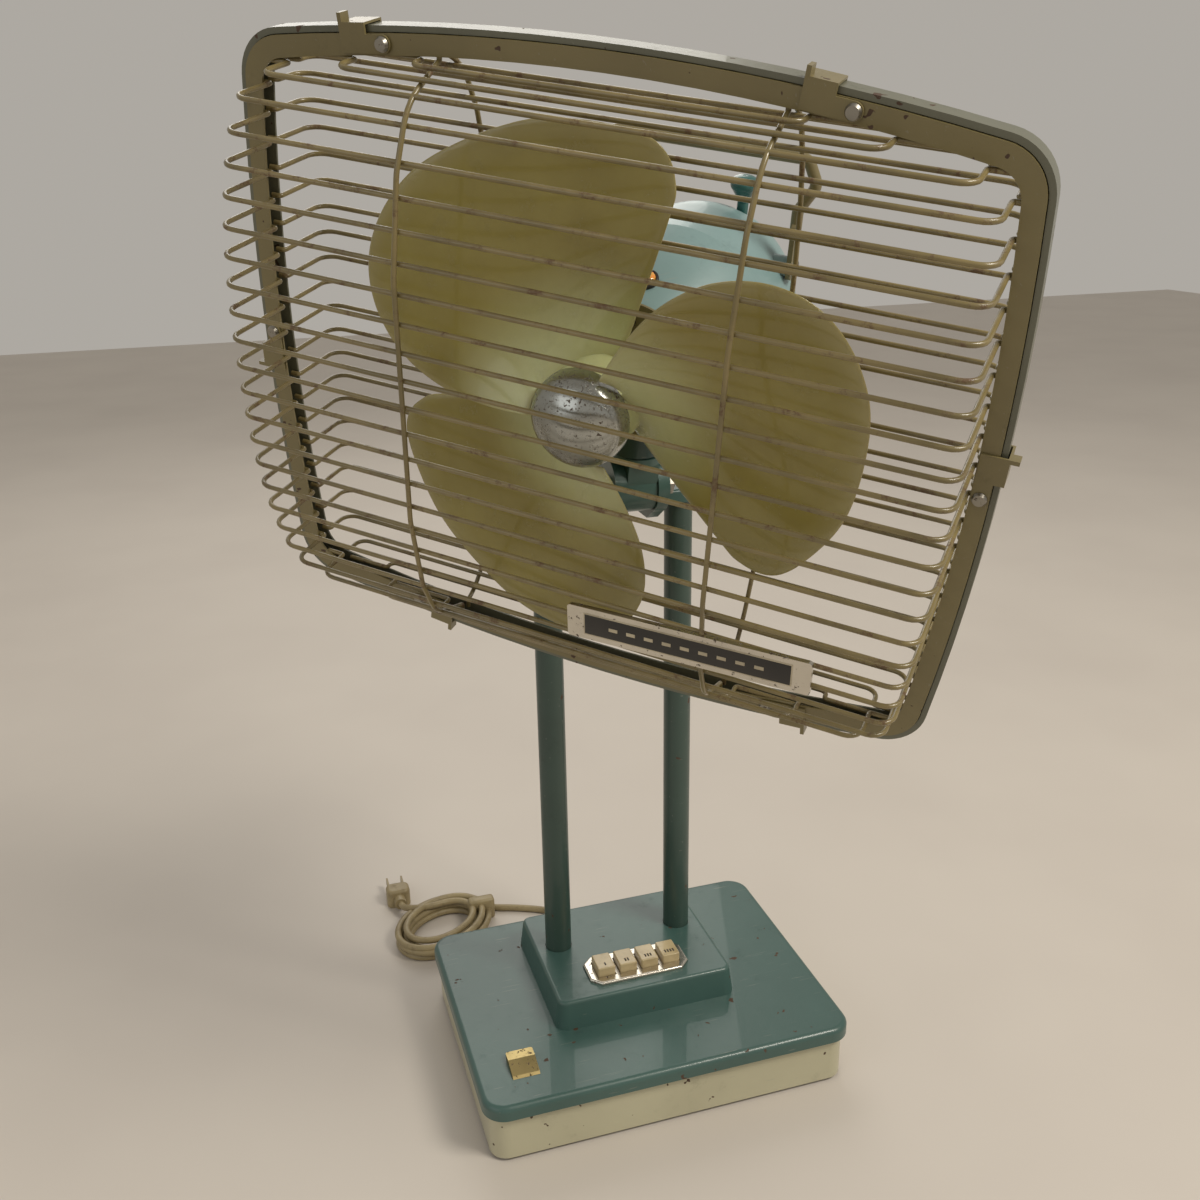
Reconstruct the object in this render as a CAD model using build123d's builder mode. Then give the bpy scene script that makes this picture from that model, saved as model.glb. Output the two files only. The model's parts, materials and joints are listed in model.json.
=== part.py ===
"""Pedestal desk fan of the 1960s: square wire guard, three plastic blades, piano-key base."""
import os
from math import cos, pi, radians, sin, sqrt, tan

from build123d import *

os.makedirs("parts", exist_ok=True)

# ---- driving dimensions, mm ------------------------------------------------------------
sheet = 1.2                  # pressed steel of the guard rims
play = 0.3                   # gap between pieces that move past each other
running_fit = 0.05           # radial clearance of a shaft in its bearing

# base
base_w = 262.0
base_d = 198.0
base_corner = 16.0
foot_gap = 2.5               # daylight under the skirt
skirt_inset = 3.7
skirt_wall = 1.6
lip_bottom = 35.8
base_top = 46.0
cover_wall = 1.5
floor_thick = 2.0
plinth_w = 134.0
plinth_front = -40.0
plinth_back = 74.0
plinth_top = 67.0
plinth_taper = 8.0
plinth_corner = 9.0

# posts
post_d = 19.05
post_wall = 1.6
post_spacing = 92.8
post_y = 29.2
post_top = 401.0

# piano keys
key_count = 4
key_pitch = 16.2
key_w = 13.0
key_d = 17.5
key_rise = 6.5               # key top above the bezel
key_travel = 5.0
key_gap = 0.5
key_y = -11.6
bezel_w = 74.0
bezel_d = 32.0
bezel_cut = 7.0
bezel_thick = 2.4

# tilt joint and oscillation axis
tilt_y = -14.0
tilt_rise = 24.0             # tilt axis above the posts' ends
tilt_z = post_top + tilt_rise
head_tilt = 16.2             # fan face looks down
head_lean = -2.2             # wear of the swivel bush
head_turn = -41.4            # fan face looks to the left
cheek_r = 18.5
cheek_inner = 10.0
cheek_outer = 17.5
tilt_bolt_d = 8.0
swivel_ahead = 67.3          # guard joint plane ahead of the swivel axis
swivel_drop = 84.0           # tilt axis below the rotor axis
swivel_pin_d = 12.0
neck_r = 17.0

# guard
side_half = 201.9
side_bulge = 9.6
top_half = 161.6
top_bulge = 16.8
corner_radius = 25.0
flange_w = 9.5
front_skirt = 7.0
hoop_out = 3.2
hoop_in = 0.4
hoop_front = 1.5
hoop_back = 13.0
rear_flange_w = 8.0
wire_d = 2.8
row_pitch = 15.6
row_count = 19
crowded_rows = (152.0, 158.4, 162.6)
front_depth = 48.5
rear_depth = 50.0
profile_half = 165.0
wire_bend = 9.0
stiffener_x = 88.0
window_top = 70.0            # rows of the rear basket between these two heights stop
window_bottom = -96.0        # at its stiffeners, leaving a window for the motor and yoke

# blades and spinner
blade_r = 150.0
blade_count = 3
blade_span = 112.0           # degrees
blade_start = -48.0
blade_rise = 40.0            # from the leading to the trailing edge along the axis
blade_thick = 2.2
hub_r = 26.0
hub_front = -12.0
hub_back = 15.0
spinner_r = 27.0
spinner_front = -35.0
shaft_d = 8.0

# motor
bell_mouth_r = 38.0
barrel_r = 63.0
barrel_front = 118.0
barrel_back = 158.0
dome_end = 216.0
seam_y = 138.0
shell = 1.8
stator_front = 98.0
stator_back = 130.0
stator_r = 44.0
rotor_r = 22.0
air_gap = 0.4
rear_plate_y = 146.0
plate_thick = 4.0
bearing_r = 9.0
worm_r = 5.0
wheel_x = 17.6
wheel_y = 180.0
wheel_thick = 8.0
knob_r = 8.8
knob_top = 78.0
knob_stem_r = 3.5

# carry handle
handle_y = 157.0
handle_rod = 7.0
handle_top = 100.0
handle_reach = 68.0
strip_x = 58.5
strip_low = 28.0

# cord
cord_d = 5.6
cord_exit_x = 6.0
cord_exit_z = 14.0

# ---- frames -----------------------------------------------------------------------------
tilt_point = Vector(0, tilt_y, tilt_z)
swivel = Plane(Location(tilt_point, (head_tilt, head_lean, head_turn)))
tilt_frame = Plane(Location(tilt_point, (head_tilt, 0, 0)))
head = Plane(
    origin=swivel.from_local_coords((0, -swivel_ahead, swivel_drop)),
    x_dir=swivel.x_dir,
    z_dir=swivel.z_dir,
)
rotor_axis = Axis(head.origin, head.y_dir)


def front(depth, x=0.0, z=0.0):
    """Plane facing forward, this far behind the guard joint: sketch axes are right and up."""
    return Plane(head.from_local_coords((x, depth, z)), x_dir=head.x_dir, z_dir=-head.y_dir)


def side(x, y=0.0, z=0.0):
    """Plane across the fan: sketch axes are rearward and up."""
    return Plane(head.from_local_coords((x, y, z)), x_dir=head.y_dir, z_dir=head.x_dir)


def level(height, x=0.0, y=0.0):
    """Plane square to the swivel axis: sketch axes are right and rearward."""
    return Plane(head.from_local_coords((x, y, height)), x_dir=head.x_dir, z_dir=head.z_dir)


def export(builder, name):
    builder.part.label = name
    export_step(builder.part, f"parts/{name}.step")


# ---- base shells ------------------------------------------------------------------------
skirt_w = base_w - 2 * skirt_inset
skirt_d = base_d - 2 * skirt_inset
skirt_corner = base_corner - skirt_inset
cover_under = base_top - cover_wall
floor_top = foot_gap + floor_thick
plinth_d = plinth_back - plinth_front
plinth_y = (plinth_back + plinth_front) / 2
key_field_w = key_pitch * (key_count - 1) + key_w + 2 * key_gap
key_field_d = key_d + 2 * key_gap
post_r = post_d / 2
post_places = [(-post_spacing / 2, post_y), (post_spacing / 2, post_y)]
gland_r = 6.0

with BuildPart() as base_cover:
    with BuildSketch(Plane.XY.offset(lip_bottom)):
        RectangleRounded(base_w, base_d, base_corner)
    extrude(amount=base_top - lip_bottom)
    fillet(base_cover.faces().sort_by(Axis.Z)[-1].edges(), 4.0)
    with BuildSketch(Plane.XY.offset(base_top - 0.01)):
        with Locations((0, plinth_y)):
            RectangleRounded(plinth_w, plinth_d, plinth_corner)
    extrude(amount=plinth_top - base_top + 0.01, taper=plinth_taper)
    fillet(base_cover.faces().sort_by(Axis.Z)[-1].edges(), 2.5)
    with BuildSketch(Plane.XY.offset(lip_bottom)):
        RectangleRounded(base_w - 2 * cover_wall, base_d - 2 * cover_wall, base_corner - cover_wall)
    extrude(amount=cover_under - lip_bottom, mode=Mode.SUBTRACT)
    with BuildSketch(Plane.XY.offset(cover_under)):
        with Locations((0, plinth_y)):
            inner_w = plinth_w - 3 * cover_wall
            inner_d = plinth_d - 3 * cover_wall
            RectangleRounded(inner_w, inner_d, plinth_corner - cover_wall)
    extrude(amount=plinth_top - cover_wall - cover_under, taper=plinth_taper, mode=Mode.SUBTRACT)
    with BuildSketch(Plane.XY.offset(plinth_top)):
        with Locations((0, key_y)):
            Rectangle(key_field_w, key_field_d)
        with Locations(*post_places):
            Circle(post_r + play)
    extrude(amount=-2 * cover_wall, mode=Mode.SUBTRACT)

with BuildPart() as base_skirt:
    with BuildSketch(Plane.XY.offset(foot_gap)):
        RectangleRounded(skirt_w, skirt_d, skirt_corner)
        RectangleRounded(
            skirt_w - 2 * skirt_wall,
            skirt_d - 2 * skirt_wall,
            skirt_corner - skirt_wall,
            mode=Mode.SUBTRACT,
        )
    extrude(amount=cover_under - foot_gap)
    with BuildSketch(Plane.XZ.offset(-skirt_d / 2)):
        with Locations((cord_exit_x, cord_exit_z)):
            Circle(gland_r)
    extrude(amount=4 * skirt_wall, both=True, mode=Mode.SUBTRACT)

with BuildPart() as base_floor_plate:
    with BuildSketch(Plane.XY.offset(foot_gap)):
        RectangleRounded(
            skirt_w - 2 * skirt_wall - play,
            skirt_d - 2 * skirt_wall - play,
            skirt_corner - skirt_wall,
        )
    extrude(amount=floor_thick)

pad_inset = 4.0
with BuildPart() as base_pad:
    with BuildSketch():
        RectangleRounded(skirt_w - 2 * pad_inset, skirt_d - 2 * pad_inset, skirt_corner - pad_inset)
    extrude(amount=foot_gap)

ballast_thick = 13.0
ballast_d = 58.0
ballast_y = key_y - key_field_d / 2 - ballast_d / 2 - 6
with BuildPart() as base_ballast:
    with BuildSketch(Plane.XY.offset(floor_top)):
        with Locations((0, ballast_y)):
            RectangleRounded(skirt_w - 60, ballast_d, 8.0)
    extrude(amount=ballast_thick)
    fillet(base_ballast.faces().sort_by(Axis.Z)[-1].edges(), 3.0)

screw_head_r = 4.0
with BuildPart() as base_screws:
    with BuildSketch(Plane.XY.offset(floor_top)):
        with GridLocations(skirt_w - 24, skirt_d - 100, 2, 2):
            RegularPolygon(screw_head_r, 6)
    extrude(amount=cover_under - floor_top)

emblem_w = 18.5
emblem_front = -74.5
emblem_back = -52.5
with BuildPart() as emblem_plate:
    with BuildSketch(Plane.YZ.offset(-98 - emblem_w / 2)):
        with BuildLine():
            Polyline(
                (emblem_front, base_top),
                (emblem_front + 1.5, base_top + 1.5),
                (emblem_front + 14, base_top + 4.5),
                (emblem_back, base_top + 4.5),
                (emblem_back, base_top),
                close=True,
            )
        make_face()
    extrude(amount=emblem_w)
    fillet(emblem_plate.edges().filter_by(Axis.Z), 1.5)

# ---- posts ------------------------------------------------------------------------------
posts = {}
for post_name, post_place in zip(("post_left", "post_right"), post_places):
    with BuildPart() as post:
        with BuildSketch(Plane.XY.offset(floor_top)):
            with Locations(post_place):
                Circle(post_r)
                Circle(post_r - post_wall, mode=Mode.SUBTRACT)
        extrude(amount=post_top - floor_top)
    posts[post_name] = post

nut_height = 6.0
with BuildPart() as post_nuts:
    for nut_z in (floor_top, plinth_top - cover_wall - nut_height):
        with BuildSketch(Plane.XY.offset(nut_z)):
            with Locations(*post_places):
                RegularPolygon(post_r + 5.5, 6)
                Circle(post_r, mode=Mode.SUBTRACT)
        extrude(amount=nut_height)

# ---- piano keys -------------------------------------------------------------------------
bezel_top = plinth_top + bezel_thick
key_top = bezel_top + key_rise
key_skirt = plinth_top - 6.0
well_floor = 28.0
switch_top = 40.0
stem_w = 6.0
stem_d = 9.0
stem_end = well_floor + key_travel + 1.5
key_places = [(key_pitch * (i - (key_count - 1) / 2), key_y) for i in range(key_count)]

with BuildPart() as key_bezel:
    with BuildSketch(Plane.XY.offset(plinth_top)) as bezel_face:
        with Locations((0, key_y)):
            Rectangle(bezel_w, bezel_d)
        chamfer(bezel_face.vertices(), bezel_cut)
    extrude(amount=bezel_thick)
    fillet(key_bezel.faces().sort_by(Axis.Z)[-1].edges(), 1.4)
    with BuildSketch(Plane.XY.offset(plinth_top)):
        with Locations(*key_places):
            Rectangle(key_w + 2 * key_gap, key_field_d)
    extrude(amount=bezel_thick, mode=Mode.SUBTRACT)

with BuildPart() as switch_body:
    with BuildSketch(Plane.XY.offset(floor_top)):
        with Locations((0, key_y)):
            Rectangle(key_field_w + 8, key_field_d + 4)
    extrude(amount=switch_top - floor_top)
    with BuildSketch(Plane.XY.offset(well_floor)):
        with Locations(*key_places):
            Rectangle(stem_w + 2 * play, stem_d + 2 * play)
    extrude(amount=switch_top - well_floor, mode=Mode.SUBTRACT)

keys = {}
for key_name, key_place in zip(("key_off", "key_low", "key_medium", "key_high"), key_places):
    with BuildPart() as key:
        with BuildSketch(Plane.XY.offset(key_skirt)):
            with Locations(key_place):
                RectangleRounded(key_w, key_d, 1.2)
        extrude(amount=key_top - key_skirt)
        fillet(key.faces().sort_by(Axis.Z)[-1].edges(), 1.0)
        with BuildSketch(Plane.XY.offset(stem_end)):
            with Locations(key_place):
                Rectangle(stem_w, stem_d)
        extrude(amount=key_skirt - stem_end)
    keys[key_name] = key

# ---- yoke on the posts ------------------------------------------------------------------
bridge_w = 27.0
bridge_thick = 9.0
spigot = 12.0
tilt_bolt_r = tilt_bolt_d / 2
with BuildPart() as yoke_bridge:
    with BuildSketch(Plane.XY.offset(post_top)):
        with Locations((0, post_y)):
            SlotOverall(post_spacing + bridge_w, bridge_w)
    extrude(amount=bridge_thick)
    fillet(yoke_bridge.faces().sort_by(Axis.Z)[-1].edges(), 2.5)
    with BuildSketch(Plane.XY.offset(post_top - spigot)):
        with Locations(*post_places):
            Circle(post_r - post_wall - play)
    extrude(amount=spigot)
    for cheek_start in (-cheek_outer, cheek_inner):
        with BuildSketch(Plane.YZ.offset(cheek_start)):
            with Locations((tilt_y, tilt_z)):
                Circle(cheek_r)
            with BuildLine():
                Polyline(
                    (tilt_y - 0.7 * cheek_r, tilt_z - 0.7 * cheek_r),
                    (tilt_y + 4, post_top),
                    (post_y, post_top),
                    (post_y, post_top + bridge_thick),
                    (tilt_y + 34, post_top + bridge_thick),
                    (tilt_y + 17, tilt_z + 4),
                    (tilt_y, tilt_z + 14),
                    close=True,
                )
            make_face()
        extrude(amount=cheek_outer - cheek_inner)
    with BuildSketch(Plane.YZ.offset(-cheek_outer)):
        with Locations((tilt_y, tilt_z)):
            Circle(tilt_bolt_r)
    extrude(amount=2 * cheek_outer, mode=Mode.SUBTRACT)

bolt_head_thick = 5.0
with BuildPart() as tilt_bolt:
    with BuildSketch(Plane.YZ.offset(-cheek_outer)):
        with Locations((tilt_y, tilt_z)):
            Circle(tilt_bolt_r)
    extrude(amount=2 * cheek_outer + 9)
    with BuildSketch(Plane.YZ.offset(-cheek_outer - bolt_head_thick)):
        with Locations((tilt_y, tilt_z)):
            RegularPolygon(8.0, 6)
    extrude(amount=bolt_head_thick)

with BuildPart() as tilt_nut:
    with BuildSketch(Plane.YZ.offset(cheek_outer)):
        with Locations((tilt_y, tilt_z)):
            RegularPolygon(8.5, 6)
            Circle(tilt_bolt_r, mode=Mode.SUBTRACT)
    extrude(amount=7.0)

# ---- tilting swivel head ----------------------------------------------------------------
boss_low = cheek_r + 2.3                          # the link passes over the cheeks under it
boss_high = boss_low + 5.0
link_pin_reach = 30.0
link_pin_r = 2.5
link_thick = 2.0
link_w = 7.0
neck_low = boss_high + 1.2 - swivel_drop          # head height of the collar's lower face
pin_low = -70.0
pin_high = -42.0


turn = radians(-head_turn)
pin_x = link_pin_reach * cos(turn)                # link pin seen from the turned head
pin_y = swivel_ahead + link_pin_reach * sin(turn)


def tilted(height):
    """Plane of the swivel head, this far above the tilt axis."""
    origin = tilt_frame.from_local_coords((0, 0, height))
    return Plane(origin, x_dir=tilt_frame.x_dir, z_dir=tilt_frame.z_dir)


with BuildPart() as tilt_head:
    across = Plane(
        tilt_frame.from_local_coords((-cheek_inner + play, 0, 0)),
        x_dir=tilt_frame.y_dir,
        z_dir=tilt_frame.x_dir,
    )
    with BuildSketch(across):
        Circle(neck_r)
        with Locations((0, boss_low / 2)):
            Rectangle(2 * neck_r - 4, boss_low)
    extrude(amount=2 * (cheek_inner - play))
    with BuildSketch(tilted(boss_low)):
        Circle(neck_r)
    extrude(amount=boss_high - boss_low)
    with BuildSketch(tilted(boss_low)):
        with Locations((link_pin_reach / 2, 0)):
            Rectangle(link_pin_reach, 9)
        with Locations((link_pin_reach, 0)):
            Circle(4.5)
    extrude(amount=3.0)
    with BuildSketch(across):
        Circle(tilt_bolt_r + running_fit)
    extrude(amount=2 * cheek_outer, mode=Mode.SUBTRACT)
    with BuildSketch(level(pin_low, y=swivel_ahead)):
        Circle(swivel_pin_d / 2)
    extrude(amount=pin_high - pin_low, mode=Mode.SUBTRACT)
    with BuildSketch(level(boss_low - swivel_drop - 3, pin_x, pin_y)):
        Circle(link_pin_r)
    extrude(amount=9.0, mode=Mode.SUBTRACT)

with BuildPart() as swivel_pin:
    with BuildSketch(level(pin_low, y=swivel_ahead)):
        Circle(swivel_pin_d / 2)
    extrude(amount=pin_high - pin_low)

# ---- oscillating link -------------------------------------------------------------------
link_top_front = boss_low - 2.0 - swivel_drop       # clear of the plate, which the lean brings closer
link_top_rear = -69.0
to_crank_x = wheel_x - pin_x
to_crank_y = wheel_y - pin_y
crank_distance = sqrt(to_crank_x**2 + to_crank_y**2)
far_distance = sqrt(to_crank_x**2 + (to_crank_y + 2 * (pin_y - swivel_ahead)) ** 2)
crank_throw = (far_distance - crank_distance) / 2
link_length = (far_distance + crank_distance) / 2
link_dir = Vector(to_crank_x / crank_distance, to_crank_y / crank_distance)
crank_pin_x = pin_x + link_dir.X * link_length
crank_pin_y = pin_y + link_dir.Y * link_length
along = head.x_dir * link_dir.X + head.y_dir * link_dir.Y
link_side = Plane(
    head.from_local_coords((pin_x, pin_y, 0)),
    x_dir=along,
    z_dir=along.cross(head.z_dir),
)
with BuildPart() as link_arm:
    with BuildSketch(link_side):
        with BuildLine():
            Polyline(
                (-5, link_top_front),
                (26, link_top_front),
                (36, link_top_rear),
                (link_length + 5, link_top_rear),
                (link_length + 5, link_top_rear - link_thick),
                (35, link_top_rear - link_thick),
                (25, link_top_front - link_thick),
                (-5, link_top_front - link_thick),
                close=True,
            )
        make_face()
    extrude(amount=link_w / 2, both=True)
    with BuildSketch(level(0, pin_x, pin_y)):
        Circle(link_pin_r + running_fit)
    extrude(amount=-swivel_drop, mode=Mode.SUBTRACT)

with BuildPart() as link_pin:
    with BuildSketch(level(link_top_front - link_thick - 2.0, pin_x, pin_y)):
        Circle(4.0)
    extrude(amount=2.0 - play)
    with BuildSketch(level(link_top_front - link_thick - play - 0.1, pin_x, pin_y)):
        Circle(link_pin_r)
    extrude(amount=link_thick + 5.0)

# ---- motor ------------------------------------------------------------------------------
strap_thick = 2.0
strap_screw_r = 31.0
screw_r = 2.0
screw_len = 6.5
bell_mouth_y = rear_depth - wire_d / 2            # the guard strap seats on the bell's mouth
bell_mid_y = (bell_mouth_y + barrel_front) / 2
bell_mid_r = (bell_mouth_r + barrel_r) / 2 + 2.5
dome_mid_y = barrel_back + (dome_end - barrel_back) * 0.7071
dome_mid_r = barrel_r * 0.7071


def bell_profile(inset):
    """Outline of the bell from its mouth to the seam, closed down to the rotor axis."""
    Polyline((seam_y, barrel_r - inset), (seam_y, 0), (bell_mouth_y, 0), (bell_mouth_y, bell_mouth_r - inset))
    Spline(
        (bell_mouth_y, bell_mouth_r - inset),
        (bell_mid_y, bell_mid_r - inset),
        (barrel_front, barrel_r - inset),
    )
    Line((barrel_front, barrel_r - inset), (seam_y, barrel_r - inset))


def dome_profile(inset):
    """Outline of the rear dome from the seam to its end, closed down to the rotor axis."""
    Line((seam_y, barrel_r - inset), (barrel_back, barrel_r - inset))
    Spline(
        (barrel_back, barrel_r - inset),
        (dome_mid_y - 0.7 * inset, dome_mid_r - 0.7 * inset),
        (dome_end - inset, 0),
        tangents=[(1, 0), (0, -1)],
    )
    Polyline((dome_end - inset, 0), (seam_y, 0), (seam_y, barrel_r - inset))


cap_depth = 68.0
cap_height = 47.3
cap_r = 6.2
cap_hole = 4.0
with BuildPart() as motor_front_housing:
    with BuildSketch(side(0)):
        with BuildLine():
            bell_profile(0)
        make_face()
        with BuildLine():
            bell_profile(shell)
        make_face(mode=Mode.SUBTRACT)
    revolve(axis=rotor_axis)
    with BuildSketch(level(0, y=cap_depth)):
        Circle(cap_hole)
    extrude(amount=barrel_r + 10, mode=Mode.SUBTRACT)
    with BuildSketch(level(pin_high + play, y=swivel_ahead)):
        Circle(swivel_pin_d / 2 + play)
    extrude(amount=pin_low - pin_high, mode=Mode.SUBTRACT)

cap_slope = radians(23.4)
cap_plane = Plane(
    head.from_local_coords((0, cap_depth, cap_height)),
    x_dir=head.x_dir,
    z_dir=head.z_dir * cos(cap_slope) - head.y_dir * sin(cap_slope),
)
with BuildPart() as oil_cap:
    with BuildSketch(cap_plane):
        Circle(cap_r + 1.4)
    extrude(amount=1.4)
    with BuildSketch(cap_plane.offset(1.4)):
        Circle(cap_r)
    extrude(amount=2.2, taper=20)
    with BuildSketch(cap_plane.offset(-3.0)):
        Circle(cap_hole - 1.4)
    extrude(amount=3.0)

wheel_shaft_r = 3.0
slot_r = 6.5
boss_r = 6.0
boss_x = strip_x - 1.5
boss_z = strip_low + 8.0
with BuildPart() as motor_rear_cover:
    with BuildSketch(side(0)):
        with BuildLine():
            dome_profile(0)
        make_face()
        with BuildLine():
            dome_profile(shell)
        make_face(mode=Mode.SUBTRACT)
    revolve(axis=rotor_axis)
    with BuildSketch(level(0, wheel_x, wheel_y)):
        Circle(slot_r)
    extrude(amount=barrel_r, mode=Mode.SUBTRACT)
    with BuildSketch(level(0, wheel_x, wheel_y)):
        Circle(wheel_shaft_r + play)
    extrude(amount=-barrel_r, mode=Mode.SUBTRACT)
    for boss_side in (-1, 1):
        with BuildSketch(side(boss_side * boss_x, handle_y, boss_z)):
            Circle(boss_r)
            Circle(screw_r, mode=Mode.SUBTRACT)
        extrude(amount=-boss_side * 12)

bearing_y = 38.0
bearing_len = 10.0
nose_r = 13.0
plate_r = bell_mouth_r - shell
with BuildPart() as motor_front_plate:
    with BuildSketch(front(bell_mouth_y)):
        Circle(plate_r)
    extrude(amount=-plate_thick)
    with BuildSketch(front(bell_mouth_y)):
        Circle(nose_r)
    extrude(amount=bell_mouth_y - bearing_y + 2)
    with BuildSketch(front(bell_mouth_y + plate_thick)):
        Circle(bearing_r)
    extrude(amount=bell_mouth_y + plate_thick - bearing_y, mode=Mode.SUBTRACT)
    with BuildSketch(front(bearing_y)):
        Circle(shaft_d / 2 + 1)
    extrude(amount=4, mode=Mode.SUBTRACT)
    with BuildSketch(front(bell_mouth_y)):
        with PolarLocations(strap_screw_r, 3, start_angle=90):
            Circle(screw_r)
    extrude(amount=-plate_thick, mode=Mode.SUBTRACT)

with BuildPart() as front_bearing:
    with BuildSketch(front(bearing_y)):
        Circle(bearing_r)
        Circle(shaft_d / 2 + running_fit, mode=Mode.SUBTRACT)
    extrude(amount=-bearing_len)

rear_bearing_y = rear_plate_y - 2
pillar_r = 2.6
pillar_ring = stator_r - pillar_r
with BuildPart() as motor_rear_plate:
    with BuildSketch(front(rear_plate_y)):
        Circle(barrel_r - shell)
        Circle(bearing_r, mode=Mode.SUBTRACT)
    extrude(amount=-plate_thick)
    with BuildSketch(front(rear_plate_y)):
        with PolarLocations(pillar_ring, 4, start_angle=45):
            Circle(pillar_r)
    extrude(amount=rear_plate_y - stator_back)

with BuildPart() as rear_bearing:
    with BuildSketch(front(rear_bearing_y)):
        Circle(bearing_r)
        Circle(shaft_d / 2 + running_fit, mode=Mode.SUBTRACT)
    extrude(amount=-bearing_len)

bore_r = rotor_r + air_gap
with BuildPart() as stator:
    with BuildSketch(front(stator_front)):
        Circle(stator_r)
        Circle(bore_r, mode=Mode.SUBTRACT)
        with PolarLocations(bore_r + 7, 12):
            Rectangle(8, 4.5, mode=Mode.SUBTRACT)
    extrude(amount=stator_front - stator_back)

winding_len = 9.0
with BuildPart() as stator_windings:
    for winding_y in (stator_front - winding_len, stator_back):
        with BuildSketch(front(winding_y)):
            Circle(stator_r - 6)
            Circle(bore_r + 3, mode=Mode.SUBTRACT)
        extrude(amount=-winding_len)
    fillet(stator_windings.edges().filter_by(GeomType.CIRCLE), 2.5)

with BuildPart() as rotor:
    with BuildSketch(front(stator_front)):
        Circle(rotor_r)
        Circle(shaft_d / 2, mode=Mode.SUBTRACT)
    extrude(amount=stator_front - stator_back)

worm_len = 18.0
worm_front = wheel_y - worm_len / 2
shaft_front = -30.0
with BuildPart() as rotor_shaft:
    with BuildSketch(front(shaft_front)):
        Circle(shaft_d / 2)
    extrude(amount=shaft_front - worm_front)

with BuildPart() as worm:
    with BuildSketch(front(worm_front)):
        Circle(worm_r)
    extrude(amount=-worm_len)

wheel_r = wheel_x - worm_r - play
wheel_shaft_top = 40.0
crank_top = link_top_rear + 3.0
crank_thick = 2.5
crank_w = 10.0
with BuildPart() as worm_wheel:
    with BuildSketch(level(-wheel_thick / 2, wheel_x, wheel_y)):
        Circle(wheel_r)
    extrude(amount=wheel_thick)
    with BuildSketch(level(crank_top, wheel_x, wheel_y)):
        Circle(wheel_shaft_r)
    extrude(amount=wheel_shaft_top - crank_top)

with BuildPart() as crank_arm:
    with BuildSketch(level(crank_top - crank_thick, wheel_x, wheel_y)):
        Circle(crank_w / 2 + 1)
        with Locations((crank_pin_x - wheel_x, crank_pin_y - wheel_y)):
            Circle(crank_w / 2)
        with BuildLine():
            Line((0, 0), (crank_pin_x - wheel_x, crank_pin_y - wheel_y))
        trace(line_width=crank_w)
    extrude(amount=crank_thick)
    with BuildSketch(level(crank_top, crank_pin_x, crank_pin_y)):
        Circle(crank_w / 2 - 1.5)
    extrude(amount=1.6)

knob_gap = 6.0
knob_head = 10.0
with BuildPart() as oscillation_knob:
    with BuildSketch(side(wheel_x, wheel_y)):
        with BuildLine():
            stem_low = wheel_shaft_top + knob_gap
            neck_z = knob_top - knob_head
            Polyline(
                (0, knob_top),
                (0, stem_low),
                (knob_stem_r, stem_low),
                (knob_stem_r, neck_z - 6),
                (knob_stem_r + 1.6, neck_z - 2),
                (knob_r - 1.5, neck_z + 1.5),
            )
            ThreePointArc(
                (knob_r - 1.5, neck_z + 1.5),
                (knob_r, neck_z + 4.5),
                (knob_r - 2.5, knob_top - 1),
            )
            Spline((knob_r - 2.5, knob_top - 1), (knob_r / 2, knob_top - 0.3), (0, knob_top))
        make_face()
    revolve(axis=Axis(head.from_local_coords((wheel_x, wheel_y, 0)), head.z_dir))

saddle_r = barrel_r + 4.0
bar_low = -barrel_r - 4.0
bar_start = swivel_ahead + neck_r + 2.2
saddle_back = wheel_y - crank_throw - crank_w / 2 - 3
with BuildPart() as motor_neck:
    with BuildSketch(level(neck_low, y=swivel_ahead)):
        Circle(neck_r)
    extrude(amount=-neck_low)
    with BuildSketch(side(-14)):
        with BuildLine():
            Polyline(
                (swivel_ahead, neck_low),
                (bar_start, neck_low),
                (bar_start + 3, bar_low),
                (saddle_back, bar_low),
                (saddle_back, 0),
                (swivel_ahead, 0),
                close=True,
            )
        make_face()
    extrude(amount=28)
    with BuildSketch(front(barrel_front)):
        Circle(saddle_r)
        with Locations((0, saddle_r / 2 + 4)):
            Rectangle(2 * saddle_r, saddle_r, mode=Mode.SUBTRACT)
    extrude(amount=barrel_front - saddle_back)
    with BuildSketch(side(0)):
        with BuildLine():
            bell_profile(0)
        make_face()
        with Locations(((seam_y + dome_end) / 2, barrel_r / 2)):
            Rectangle(dome_end - seam_y, barrel_r)
    revolve(axis=rotor_axis, mode=Mode.SUBTRACT)
    with BuildSketch(level(neck_low, y=swivel_ahead)):
        Circle(swivel_pin_d / 2 + running_fit)
    extrude(amount=pin_high - neck_low + play, mode=Mode.SUBTRACT)

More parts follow.
